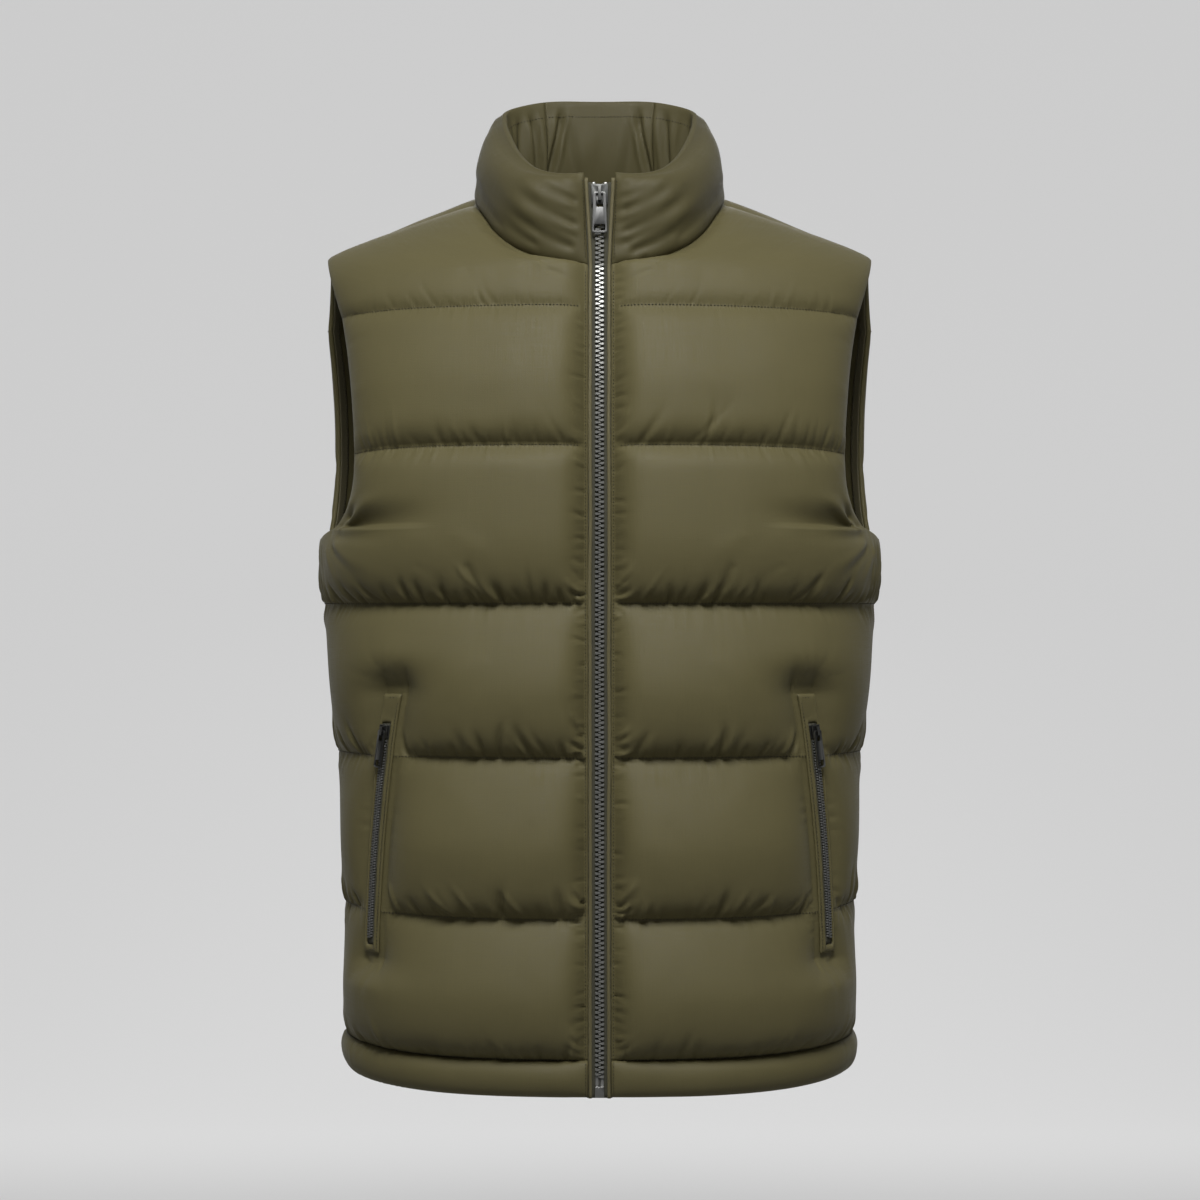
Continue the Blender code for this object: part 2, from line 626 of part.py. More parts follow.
# ---- Collar ---------------------------------------------------------------------------------------
def neckline_edge(front, back):
    """The panels' neckline from centre front round to centre back: outer points, inner points,
    the directions away from the panels, and each point's place around the collar."""
    edges = []
    for panel, places in ((front, np.linspace(0, 1, NECK_ROWS + 1)),
                          (back, np.linspace(2, 1, BACK_NECK_ROWS + 1))):
        first = corner_row(panel.is_front)
        outer, inner = panel.outer[first:, 0], panel.inner[first:, 0]
        normal = panel.normal[first:, 0]
        tangent = unit(np.gradient(inner, axis=0))
        away = unit(np.cross(normal, tangent))
        inward = panel.inner[first:, 1] - inner
        away *= -np.sign((away * inward).sum(axis=1))[:, None]
        away[0] = [0, away[0, 1], away[0, 2]]
        edges.append((places, outer, inner, unit(away)))
    (fp, fo, fi, fa), (bp, bo, bi, ba) = edges
    middle = unit(fa[-1] + ba[-1])
    places = np.concatenate([fp, bp[-2::-1]])
    outer = np.concatenate([fo[:-1], [(fo[-1] + bo[-1]) / 2], bo[-2::-1]])
    inner = np.concatenate([fi[:-1], [(fi[-1] + bi[-1]) / 2], bi[-2::-1]])
    away = np.concatenate([fa[:-1], [middle], ba[-2::-1]])
    return places, outer, inner, away


def collar_ring(place, neckline):
    """The collar's cross-section at one place around: up the outer side, over the rim and down
    the inner side."""
    places, outer, inner, away = neckline
    low_out, low_in, step = (np.array([np.interp(place, places, part[:, k]) for k in range(3)])
                             for part in (outer, inner, away))
    low_out, low_in = low_out + step * SEAM_GAP, low_in + step * SEAM_GAP
    rim = np.array([column(COLLAR_RIM, RIM_COLUMNS, k, place)[0] for k in "xyz"])
    bulge = column(COLLAR_RIM, RIM_COLUMNS, "bulge", place)[0]
    middle = np.array([0.0, -18.0, rim[2]])
    outward = unit((rim - middle) * np.array([1, 1, 0]))
    if place < 0.3:
        turn = smoothstep(place / 0.3)
        outward = unit(outward * turn + np.array([0, -1, 0]) * (1 - turn))
    rim_out = rim + outward * COLLAR_RIM_THICKNESS / 2
    rim_in = rim - outward * COLLAR_RIM_THICKNESS / 2
    up_outside, up_inside = [], []
    for level in COLLAR_LEVELS:
        swell = (level ** 0.7) * (1 - level) ** 0.45 / 0.545
        dip = 0.0
        for around, height, rise, half_width, depth in COLLAR_FOLDS:
            ridge = height + rise * (place - around)
            near = max(0.0, 1 - abs(level - ridge) / half_width)
            dip += depth * near * near * smoothstep((place - 0.06) / 0.12) \
                * smoothstep((0.62 - place) / 0.25)
        up_outside.append(low_out + (rim_out - low_out) * level
                          + outward * (bulge * swell - dip * (swell > 0.1)))
        inside_swell = math.sin(math.pi * level)
        up_inside.append(low_in + (rim_in - low_in) * level
                         - outward * COLLAR_INNER_BULGE * inside_swell * min(1, bulge / 12))
    top = rim + np.array([0, 0, 1.2])
    return np.array(up_outside + [rim_out, top, rim_in] + up_inside[::-1])


def make_collar(front, back, shell, collection):
    neckline = neckline_edge(front, back)
    places = np.unique(np.concatenate([
        neckline[0], (neckline[0][1:] + neckline[0][:-1]) / 2, [0.05, COLLAR_SEAM_AROUND]]))
    side = [p for p in places if p < COLLAR_SEAM_AROUND - 0.01]
    rear = [p for p in places if p > COLLAR_SEAM_AROUND + 0.01]
    half_gap = 0.0022      # a seam gap, as a share of the way around
    rings = [collar_ring(p, neckline) for p in side + [COLLAR_SEAM_AROUND - half_gap]]
    left = tube("collar_left", rings, shell, collection)
    mirror_copy(left, "collar_right", collection)
    rear_rings = np.array([collar_ring(p, neckline)
                           for p in [COLLAR_SEAM_AROUND + half_gap] + rear])
    rear_rings[-1, :, 0] = 0
    tube("collar_back", np.concatenate([rear_rings, mirrored(rear_rings[-2::-1])]), shell,
         collection)


# ---- Armhole facing -------------------------------------------------------------------------------
def facing_stations(panel):
    """Places on the panel's grid, from the side seam up to the shoulder: pairs of a place on the
    armhole's edge and the place on the lining across the facing from it."""
    start, top = underarm_row(), panel.inner.shape[0] - 1
    last = panel.inner.shape[1] - 1
    corner = last - SIDE_COLUMNS
    under = [((start, col), (start - FACING_DROP, col))
             for col in np.arange(last, corner + 0.1, -0.5)]
    turn = [((start, corner), (start - FACING_DROP * 0.75, corner - 0.55)),
            ((start + 0.4, corner), (start, corner - 0.9)),
            ((start + 0.75, corner), (start + 0.5, corner - 1))]
    up = [((row, corner), (row, corner - 1)) for row in range(start + 1, top + 1)]
    return under + turn + up


def make_facings(front, back, lining_cloth, collection):
    """A thin band inside each armhole, all the way round."""
    rings = []
    for panel in (front, back):
        part = []
        for edge, inner_edge in facing_stations(panel):
            corners = []
            for place in (edge, inner_edge):
                point, out = panel.at("inner", *place), unit(panel.at("normal", *place))
                corners += [point - out * FACING_NEAR, point - out * FACING_FAR]
            part.append([corners[0], corners[1], corners[3], corners[2]])
        rings += part if panel.is_front else part[::-1]
    left = ring_band("armhole_facing_left", rings, lining_cloth, collection)
    mirror_copy(left, "armhole_facing_right", collection)


# ---- Centre-front zip -----------------------------------------------------------------------------
def zip_line(front):
    """Heights and depths of the lining at the centre front, from the hem to the collar's rim."""
    edge = front.inner[:corner_row(True) + 1, 0]
    hem = [section_point(front, 0, z) for z in (HEM_BOTTOM_Z, HEM_SEAM_Z - 12)]
    rim = np.array([0.0, COLLAR_RIM[0][2], COLLAR_RIM[0][3]])
    low = edge[-1]
    collar = [low + (rim - low) * share for share in (0.25, 0.5, 0.75, 1.0)]
    points = np.array(hem + list(edge[::2]) + [low] + collar)
    order = np.argsort(points[:, 2])
    z, keep = np.unique(points[order, 2], return_index=True)
    return z, points[order][keep, 1]


def zip_strip(name, line, x_range, offsets, z_range, finish, collection, flare=0.0):
    """A pair of strips along the zip: each is a bar between two distances from the middle and
    two distances in front of the lining."""
    heights, depths = line
    inside = heights[(heights > z_range[0] + 2) & (heights < z_range[1] - 2)]
    rings = []
    for z in np.concatenate([[z_range[0]], inside, [z_range[1]]]):
        y = np.interp(z, heights, depths)
        part = flare * min(1.0, max(0.0, (z + 62.0) / 66.0))
        near, far = x_range[0] + part, x_range[1] + part
        rings.append([(near, y - offsets[0], z), (far, y - offsets[0], z),
                      (far, y - offsets[1], z), (near, y - offsets[1], z)])
    left = tube(name + "_left", rings, finish, collection)
    mirror_copy(left, name + "_right", collection)


def boxes_joined(name, boxes, place, finish, collection):
    """One solid from overlapping boxes, each (low corner, high corner) in millimetres, joined by
    Boolean unions and then moved to its place."""
    made = []
    for k, (low, high) in enumerate(boxes):
        work = bmesh.new()
        bmesh.ops.create_cube(work, size=1.0)
        size = Vector(high) - Vector(low)
        centre = (Vector(high) + Vector(low)) / 2
        scale = Matrix.Diagonal((*(size * MM), 1))
        bmesh.ops.transform(work, verts=work.verts,
                            matrix=Matrix.Translation(centre * MM) @ scale)
        mesh = bpy.data.meshes.new(f"{name}_{k}")
        work.to_mesh(mesh)
        work.free()
        made.append(bpy.data.objects.new(f"{name}_{k}", mesh))
        collection.objects.link(made[-1])
    body = made[0]
    for other in made[1:]:
        join = body.modifiers.new("join", "BOOLEAN")
        join.operation = "UNION"
        join.object = other
    bpy.context.view_layer.update()
    evaluated = body.evaluated_get(bpy.context.evaluated_depsgraph_get())
    mesh = bpy.data.meshes.new_from_object(evaluated)
    for part in made:
        bpy.data.objects.remove(part)
    joined = add_object(name, mesh, finish, collection)
    joined.matrix_world = place
    return joined


def frame_at(origin, across, up, out):
    """A placing matrix whose X, Z and -Y run across, up and out of the cloth."""
    turn = Matrix((across, [-c for c in out], up)).transposed().to_4x4()
    return Matrix.Translation(Vector(origin) * MM) @ turn


def slider(name, size, place, finish, collection):
    """A zip slider: two plates joined by a wedge, with a bridge in front for the pull. Local -Y is
    out of the cloth, +Z is the closing direction, and the middle of the teeth is the origin."""
    wide, tall, gap, plate = size["half_width"], size["height"], size["gap"], size["plate"]
    front = -gap / 2 - plate
    bridge, rise, feet = size["bridge_half_width"], size["bridge_rise"], size["bridge_foot"]
    boxes = [
        ((-wide, front, -tall / 2), (wide, -gap / 2, tall / 2)),
        ((-wide, gap / 2, -tall / 2), (wide, gap / 2 + plate, tall / 2)),
        ((-size["wedge"], -gap / 2 - 0.3, tall / 2 - 4.5), (size["wedge"], gap / 2 + 0.3,
                                                            tall / 2 - 0.4)),
        ((-bridge, front - rise, tall / 2 - feet - 1.0), (bridge, front + 0.3, tall / 2 - 1.0)),
        ((-bridge, front - rise, -tall / 2 + 2.0), (bridge, front + 0.3, -tall / 2 + 2.0 + feet)),
        ((-bridge, front - rise - size["bridge_bar"], -tall / 2 + 2.0),
         (bridge, front - rise + 0.3, tall / 2 - 1.0)),
    ]
    return boxes_joined(name, boxes, place, finish, collection)


def rounded_outline(corners, radius, steps=3):
    """A closed outline of straight sides with round corners."""
    outline = []
    count = len(corners)
    for k in range(count):
        here = np.array(corners[k], float)
        to_last = unit(np.array(corners[k - 1], float) - here)
        to_next = unit(np.array(corners[(k + 1) % count], float) - here)
        for s in range(steps + 1):
            t = s / steps
            outline.append(here + radius * (to_last * (1 - t) ** 2 + to_next * t * t))
    return outline


def zip_pull(name, size, place, finish, collection):
    """A zip pull: one flat plate that tapers up, with a window round the slider's bridge and a
    slot at its lower end. Its origin is the middle of its top bar, which is the hinge."""
    bar, length = size["bar"], size["length"]
    top_half, low_half, rim = size["top_width"] / 2, size["low_width"] / 2, size["rim"]
    top, bottom = bar / 2, bar / 2 - length
    outline = rounded_outline([(-top_half, top), (-low_half, bottom), (low_half, bottom),
                               (top_half, top)], size["corner"])
    window_half = size["window_width"] / 2
    window_low = -bar / 2 - size["window_height"]
    window = rounded_outline([(-window_half, -bar / 2), (window_half, -bar / 2),
                              (window_half, window_low), (-window_half, window_low)], 0.5, 2)
    slot_half = low_half - rim
    slot_low, slot_top = bottom + rim, bottom + rim + size["slot_height"]
    slot = rounded_outline([(-slot_half, slot_top), (slot_half, slot_top),
                            (slot_half, slot_low), (-slot_half, slot_low)], 0.8, 2)
    curve = bpy.data.curves.new(name, "CURVE")
    curve.dimensions = "2D"
    curve.fill_mode = "BOTH"
    curve.extrude = size["thickness"] / 2 * MM
    for points in (outline, window, slot):
        spline = curve.splines.new("POLY")
        spline.points.add(len(points) - 1)
        for point, (x, z) in zip(spline.points, points):
            point.co = (x * MM, z * MM, 0, 1)
        spline.use_cyclic_u = True
    curve.materials.append(finish)
    pull = bpy.data.objects.new(name, curve)
    collection.objects.link(pull)
    # The outline is drawn in the curve's XY plane, which stands up here as XZ.
    pull.matrix_world = place @ Matrix.Rotation(math.pi / 2, 4, "X")
    return pull


MAIN_SLIDER = {"half_width": 6.2, "height": 15.0, "gap": 3.6, "plate": 1.2, "wedge": 1.3,
               "bridge_half_width": 1.2, "bridge_rise": 2.8, "bridge_foot": 1.5,
               "bridge_bar": 1.1}
MAIN_PULL = {"length": 31.0, "top_width": 9.4, "low_width": 11.4, "window_width": 5.2,
             "window_height": 10.0, "bar": 1.5, "thickness": 1.5, "rim": 1.5, "slot_height": 5.0,
             "corner": 1.8}
POCKET_SLIDER = {"half_width": 3.45, "height": 9.5, "gap": 2.3, "plate": 0.8, "wedge": 0.8,
                 "bridge_half_width": 0.9, "bridge_rise": 2.1, "bridge_foot": 1.1,
                 "bridge_bar": 0.9}
POCKET_PULL = {"length": 29.0, "top_width": 6.4, "low_width": 7.2, "window_width": 3.4,
               "window_height": 7.4, "bar": 1.1, "thickness": 1.2, "rim": 1.3, "slot_height": 4.6,
               "corner": 1.5}
MAIN_SLIDER_Z = -9.2
TEETH_CENTRE = (TEETH_BACK + TEETH_FRONT) / 2


def hinge_of(place, size):
    """Where a pull's bar lies: in the middle of the opening under the bridge."""
    out = size["gap"] / 2 + size["plate"] + size["bridge_rise"] / 2
    up = (size["height"] / 2 - size["bridge_foot"] - 1.0 - size["height"] / 2 + 2.0
          + size["bridge_foot"]) / 2
    return place @ Matrix.Translation(Vector((0, -out, up)) * MM)


def make_zip(front, cloth, tape, plastic, metal, collection):
    line = zip_line(front)
    zip_strip("zip_lip", line, (LIP_INNER_X, LIP_OUTER_X), (LIP_BACK, LIP_FRONT),
              (HEM_BOTTOM_Z, ZIP_TOP_Z), cloth, collection, LIP_FLARE)
    zip_strip("zip_tape", line, (TAPE_INNER_X, LIP_OUTER_X), (TAPE_BACK, TAPE_FRONT),
              (HEM_BOTTOM_Z + 3.0, ZIP_TOP_Z - 1.0), tape, collection)
    zip_strip("zip_teeth", line, (TEETH_MIDDLE_GAP, TEETH_MIDDLE_GAP + TEETH_WIDTH),
              (TEETH_BACK, TEETH_FRONT), (TEETH_BOTTOM_Z, TEETH_TOP_Z), plastic, collection)
    heights, depths = line
    y = np.interp(HEM_BOTTOM_Z + 4, heights, depths)
    top = TEETH_BOTTOM_Z - SEAM_GAP
    boxes_joined("zip_box", [
        ((-3.5, y - TEETH_FRONT - 0.6, HEM_BOTTOM_Z + 0.4), (3.5, y - TEETH_BACK + 0.4, -675.2)),
        ((-3.3, y - 2.6, -676.0), (-0.6, y - 0.6, top)),
        ((0.6, y - 2.6, -676.0), (3.3, y - 0.6, top)),
    ], Matrix.Identity(4), plastic, collection)
    z = MAIN_SLIDER_Z
    low, high = (np.array([0, np.interp(t, heights, depths), t]) for t in (z - 8, z + 8))
    up = unit(high - low)
    out = np.array([0, -up[2], up[1]])
    origin = (low + high) / 2 + out * TEETH_CENTRE
    place = frame_at(origin, (1, 0, 0), up, out)
    slider("zip_slider", MAIN_SLIDER, place, metal, collection)
    zip_pull("zip_pull", MAIN_PULL, hinge_of(place, MAIN_SLIDER), metal, collection)


# ---- Pockets --------------------------------------------------------------------------------------
def pocket_rows(front):
    """Heights of the pocket's rows: the panel's own rows, and the ends of the welt and slit."""
    own = [z for z in body_rows_z() if POCKET_BOTTOM_Z + 4 < z < POCKET_TOP_Z - 4]
    own = [z for z in own if min(abs(z - e) for e in (POCKET_SLIT_TOP_Z,
                                                      POCKET_SLIT_BOTTOM_Z)) > 2.5]
    return sorted(own + [POCKET_BOTTOM_Z, POCKET_SLIT_BOTTOM_Z, POCKET_SLIT_TOP_Z, POCKET_TOP_Z])


def on_bed(front, z, across):
    """A point on the flat bed of the pocket, its normal, and the direction across: across is in
    millimetres from the slit, towards the side seam."""
    row = front.row_of(z)
    left, right = (front.at("outer", row, col) for col in (BED_COLUMN, BED_COLUMN + 1))
    wide = np.linalg.norm(right - left)
    share = WELT_INWARD / (WELT_INWARD + WELT_OUTWARD)
    point = left + (right - left) * share + (right - left) / wide * across
    above, below = (front.at("outer", row + d, BED_COLUMN + 0.5) for d in (0.3, -0.3))
    out = unit(np.cross(right - left, above - below))
    return point, out


def pocket_bar(name, front, half_width, offsets, z_range, finish, collection):
    """A flat bar along the pocket's bed, between two heights over it."""
    inside = [z for z in pocket_rows(front) if z_range[0] + 3 < z < z_range[1] - 3]
    rings = []
    for z in [z_range[0]] + inside + [z_range[1]]:
        (a, out), (b, _) = on_bed(front, z, -half_width), on_bed(front, z, half_width)
        rings.append([a + out * offsets[0], b + out * offsets[0],
                      b + out * offsets[1], a + out * offsets[1]])
    return tube(name, rings, finish, collection)


def pocket_place(front, side):
    """Where a pocket's slider stands: in the middle of its teeth, in line with the slit."""
    z = POCKET_SLIT_TOP_Z - 6.2
    (origin, out), (high, _), (low, _) = (on_bed(front, z + dz, 0) for dz in (0, 6, -6))
    up = unit(high - low)
    across = unit(np.cross(up, out))
    out = unit(np.cross(across, up))
    origin = origin + out * (POCKET_TAPE_LIFT + POCKET_SLIDER["plate"] + POCKET_SLIDER["gap"] / 2)
    if side == "right":
        origin, out, up, across = mirrored(origin), mirrored(out), mirrored(up), -mirrored(across)
    return frame_at(origin, across, up, out)


def make_pockets(front, cloth, tape, plastic, metal, collection):
    rows = pocket_rows(front)
    across = [-WELT_INWARD, -SLIT_HALF_WIDTH, SLIT_HALF_WIDTH, WELT_OUTWARD]
    low, high = [], []
    for z in rows:
        bed = [on_bed(front, z, a) for a in across]
        low.append([p + n * 0.4 for p, n in bed])
        high.append([p + n * (0.4 + WELT_THICKNESS) for p, n in bed])
    present = np.ones((len(rows) - 1, 3), bool)
    slit = [POCKET_SLIT_BOTTOM_Z <= (a + b) / 2 <= POCKET_SLIT_TOP_Z
            for a, b in zip(rows, rows[1:])]
    present[np.array(slit), 1] = False
    pieces = [
        wall("pocket_welt_left", np.array(low), np.array(high), cloth, collection, present),
        pocket_bar("pocket_tape_left", front, SLIT_HALF_WIDTH - 0.35, (0.4, 0.9),
                   (POCKET_SLIT_BOTTOM_Z + 0.4, POCKET_SLIT_TOP_Z - 0.4), tape, collection),
        pocket_bar("pocket_teeth_left", front, 2.7, (POCKET_TAPE_LIFT, 2.9),
                   (POCKET_SLIT_BOTTOM_Z + 5.0, POCKET_SLIT_TOP_Z - 11.8), plastic, collection),
    ]
    for piece in pieces:
        mirror_copy(piece, piece.name.replace("left", "right"), collection)
    for side in ("left", "right"):
        place = pocket_place(front, side)
        slider("pocket_slider_" + side, POCKET_SLIDER, place, metal, collection)
        zip_pull("pocket_pull_" + side, POCKET_PULL, hinge_of(place, POCKET_SLIDER), metal,
                 collection)


def build():
    for thing in list(bpy.data.objects):
        bpy.data.objects.remove(thing)
    collection = bpy.data.collections.new("puffer_vest")
    bpy.context.scene.collection.children.link(collection)
    shell = material("quilted shell", OLIVE, 0.5)
    lining_cloth = material("lining", OLIVE_DARK, 0.6)
    tape = material("zip tape", TAPE_GREEN, 0.8)
    plastic = material("moulded teeth", GUNMETAL, 0.35)
    metal = material("gunmetal", GUNMETAL, 0.3, 1.0)
    front, back = Panel(True), Panel(False)
    make_fronts(front, shell, collection)
    make_back(back, shell, collection)
    make_hem(front, back, shell, collection)
    make_collar(front, back, shell, collection)
    make_facings(front, back, lining_cloth, collection)
    make_zip(front, shell, tape, plastic, metal, collection)
    make_pockets(front, shell, tape, plastic, metal, collection)


build()
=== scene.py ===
"""Looks of the puffer vest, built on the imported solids: quilted satin-weave nylon whose shell is a
simulated cloth, moulded zips, woven tapes, thread and gunmetal fittings.

Sizes are in millimetres and are turned into metres where a mesh is made. +Z is up, the wearer
faces -Y, and the origin lies between the shoulders. The wearer's left is +X.
"""

import functools
import math

import bmesh
import bpy
import numpy as np
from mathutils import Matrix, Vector


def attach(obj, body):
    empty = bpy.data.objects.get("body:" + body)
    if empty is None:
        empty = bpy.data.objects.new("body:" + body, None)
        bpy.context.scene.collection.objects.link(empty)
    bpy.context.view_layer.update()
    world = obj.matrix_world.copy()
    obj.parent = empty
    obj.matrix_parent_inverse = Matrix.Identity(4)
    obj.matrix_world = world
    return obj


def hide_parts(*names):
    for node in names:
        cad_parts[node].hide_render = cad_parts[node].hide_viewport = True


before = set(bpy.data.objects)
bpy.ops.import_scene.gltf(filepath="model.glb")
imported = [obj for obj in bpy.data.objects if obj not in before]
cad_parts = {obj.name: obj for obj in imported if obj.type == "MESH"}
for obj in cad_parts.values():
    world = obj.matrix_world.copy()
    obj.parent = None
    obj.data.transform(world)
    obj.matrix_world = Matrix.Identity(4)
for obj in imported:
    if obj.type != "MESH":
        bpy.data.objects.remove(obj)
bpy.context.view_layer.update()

MM = 0.001
CELL = 1.7         # spacing of the cloth's points
BACK_CELL = 2.3
CLOTH_STEPS = 170

# ---- The construction's sizes
SEAM_GAP = 0.3
SEAM_THICKNESS = 3.0
FRONT_PUFF = 21.0
BACK_PUFF = 18.0
POCKET_BED = 3.0

HEM_SEAM_Z = -655.0
HEM_BOTTOM_Z = -683.7
CHEST_SEAM_Z, YOKE_SEAM_Z = -199.0, -95.4
QUILT_LINES_Z = [HEM_SEAM_Z, -550.3, -430.3, -315.5, CHEST_SEAM_Z, YOKE_SEAM_Z]

# Half ovals of the lining: half-widths, depths and powers. A power of 2 is an ellipse.
SECTION_COLUMNS = ("z", "half_width", "front_depth", "back_depth", "front_power", "back_power",
                   "side_rise")
SECTIONS = [
    (-690.0, 190.0, 112.5, 110.5, 2.30, 2.30, 8.0),
    (-655.0, 193.8, 115.0, 110.0, 2.30, 2.30, 7.0),
    (-550.3, 195.3, 118.0, 106.0, 2.30, 2.35, 5.0),
    (-430.3, 200.4, 120.0, 104.5, 2.30, 2.40, 1.0),
    (-315.5, 211.3, 122.5, 110.0, 2.35, 2.50, 0.0),
    (-267.0, 215.0, 123.5, 115.0, 2.40, 2.60, 0.0),
    (-199.0, 218.0, 122.0, 121.0, 2.40, 2.80, -9.0),
    (-150.0, 219.5, 117.0, 122.5, 2.25, 2.90, -4.0),
    (-95.4, 220.0, 108.0, 119.0, 2.10, 3.00, -3.0),
]
ARMHOLE_COLUMNS = ("z", "front_x", "back_x")
ARMHOLE = [
    (-267.0, 215.0, 215.0),
    (-258.0, 200.5, 212.4),
    (-248.0, 192.5, 211.2),
    (-235.0, 187.5, 210.2),
    (-220.0, 184.5, 209.4),
    (-207.0, 183.7, 209.0),
    (-199.0, 183.5, 208.8),
    (-160.0, 186.0, 209.6),
    (-125.0, 190.0, 211.8),
    (-95.4, 195.0, 214.5),
]
NECK_POINT = (95.5, 0.0, -5.6)
SHOULDER_TIP = (211.0, 0.0, -50.0)
FRONT_EDGE_X = 8.7
FRONT_NECKLINE = [(8.7, -101.0, -63.0), (31.0, -97.5, -60.5), (53.0, -90.5, -54.5),
                  (75.0, -74.0, -40.0), (89.5, -36.0, -18.0), NECK_POINT]
BACK_NECKLINE = [(0.0, 64.0, 16.0), (40.0, 58.5, 14.5), (70.0, 43.0, 9.0), (88.5, 22.0, 2.0),
                 NECK_POINT]
CENTRE_BACK = [(0.0, 119.0, -95.4), (0.0, 113.0, -55.0), (0.0, 96.0, -17.0), (0.0, 64.0, 16.0)]
NECK_CORNER_ROW = 2
NECK_ROWS = 5
BACK_CORNER_ROW = 5
BACK_NECK_ROWS = 4
CHANNEL_ROWS = [0.0, 0.08, 0.22, 0.42, 0.70, 1.0]
PUFF_FULLEST = 0.42
SEAM_FILLS = [0.0, 0.0, 0.0, 0.0, 0.70, 0.50]
CHEST_SEAM_DIP, YOKE_SEAM_DIP = 0.38, 0.16
UNDERARM_ROWS_Z = [-315.5, -302.0, -285.0, -258.0, -248.0, -235.0, -220.0, -207.0, -199.0]
ARMHOLE_CORNER_Z = -258.0
UNDERARM_DIP = [0.0, -7.0, -9.0]
FRONT_UNDERARM_ARC, BACK_UNDERARM_ARC = 59.0, 36.0
SIDE_COLUMNS = 2
FACING_WIDTH = 10.0

POCKET_COLUMNS = ("z", "x")
POCKET_LINE = [(-690.0, 170.0), (-582.0, 169.0), (-540.0, 167.5), (-490.0, 164.5),
               (-430.3, 159.0), (-404.0, 156.0), (-382.0, 152.5), (-315.5, 142.0),
               (-267.0, 134.0), (-199.0, 124.0), (-95.4, 122.0)]
POCKET_TOP_Z = -383.0
POCKET_SLIT_TOP_Z = -405.0
POCKET_SLIT_BOTTOM_Z = -577.0
POCKET_BOTTOM_Z = -583.0
WELT_INWARD, WELT_OUTWARD = 12.0, 6.0
BED_COLUMNS = (8, 9)


# ---- Curves
def through(knots, values, at):
    """A smooth curve through the values at the knots: each stretch is a cubic whose end slopes are
    the means of the chords on either side."""
    knots = np.asarray(knots, float)
    values = np.asarray(values, float).reshape(len(knots), -1)
    at = np.atleast_1d(np.asarray(at, float))
    chord = np.diff(values, axis=0) / np.diff(knots)[:, None]
    slope = np.vstack([chord[:1], (chord[1:] + chord[:-1]) / 2, chord[-1:]])
    i = np.clip(np.searchsorted(knots, at, side="right") - 1, 0, len(knots) - 2)
    h = (knots[i + 1] - knots[i])[:, None]
    t = ((at - knots[i]) / h[:, 0])[:, None]
    return (values[i] * (1 + 2 * t) * (1 - t) ** 2 + slope[i] * h * t * (1 - t) ** 2
            + values[i + 1] * t * t * (3 - 2 * t) + slope[i + 1] * h * t * t * (t - 1))


def column(table, names, name, at):
    """One column of a table whose first column holds the knots, as a smooth function."""
    rows = np.array(table, float)
    return through(rows[:, 0], rows[:, names.index(name)], at)[:, 0]


def along(points, places):
    """The points' own smooth curve, read at places counted in points."""
    return through(np.arange(len(points)), points, places)


def smoothstep(x):
    x = np.clip(x, 0.0, 1.0)
    return x * x * (3 - 2 * x)


def unit(vectors):
    return vectors / np.maximum(np.linalg.norm(vectors, axis=-1, keepdims=True), 1e-12)


def spans(grid, axis=0):
    """The distances between a grid's neighbouring points along one of its axes."""
    return np.linalg.norm(np.diff(grid, axis=axis), axis=-1)


def lengths(points):
    """The distance walked along a row of points, at each of them."""
    return np.concatenate([[0.0], np.cumsum(spans(points))])


def read_at(places, knots, points):
    """Points between others whose places are the knots."""
    return np.stack([np.interp(places, knots, points[:, k]) for k in range(3)], axis=-1)


def blurred(field, blur_rows, blur_cols):
    """A Gaussian blur by the Fourier series e^(-2 pi^2 (f w)^2), with its widths in cells."""
    rows, cols = (np.fft.fftfreq(count) for count in field.shape)
    keep = np.exp(-2 * math.pi ** 2 * ((rows[:, None] * blur_rows) ** 2
                                       + (cols[None, :] * blur_cols) ** 2))
    return np.fft.ifft2(np.fft.fft2(field) * keep).real


def soft_noise(shape, blur_rows, blur_cols, seed):
    """Random numbers blurred by a Gaussian of these widths, in cells, with a spread of 1."""
    field = blurred(np.random.default_rng(seed).standard_normal(shape), blur_rows, blur_cols)
    return field / field.std()


# ---- The lining surface
def hoop(z, from_x, to_x, is_front):
    """Closely spaced points along one level half oval: x = w sin^(2/p) a and y = d cos^(2/p) a."""
    side = "front" if is_front else "back"
    width, depth, power, side_rise = (
        column(SECTIONS, SECTION_COLUMNS, name, z)[0]
        for name in ("half_width", side + "_depth", side + "_power", "side_rise"))
    start, end = (math.asin(min(1.0, x / width) ** (power / 2)) for x in (from_x, to_x))
    angle = np.linspace(start, end, 600)
    x = width * np.sin(angle) ** (2 / power)
    y = depth * np.clip(np.cos(angle), 0, 1) ** (2 / power)
    rise = side_rise * (x / width) ** 5
    return np.stack([x, -y if is_front else y, z + rise], axis=1)


def level_row(z, is_front):
    """One hoop of a panel, and the length along it to the line of the pocket slit."""
    end_x = 1e3
    if z > ARMHOLE_CORNER_Z:
        end_x = column(ARMHOLE, ARMHOLE_COLUMNS, "front_x" if is_front else "back_x", z)[0]
    points = hoop(z, FRONT_EDGE_X if is_front else 0.0, end_x, is_front)
    pocket_x = column(POCKET_LINE, POCKET_COLUMNS, "x", z)[0]
    return points, float(np.interp(pocket_x, points[:, 0], lengths(points)))


def side_columns(z, start, length, arc):
    """Columns from a place to the side seam. Near the armhole they line up with its corner."""
    even = start + (length - start) * np.array([0.2, 0.4, 0.6, 0.8])
    corner = length - arc
    lined_up = np.array([(start + corner - FACING_WIDTH) / 2, corner - FACING_WIDTH, corner,
                         length - arc / 2])
    near = smoothstep((z + 400.0) / 110.0)
    return even * (1 - near) + lined_up * near


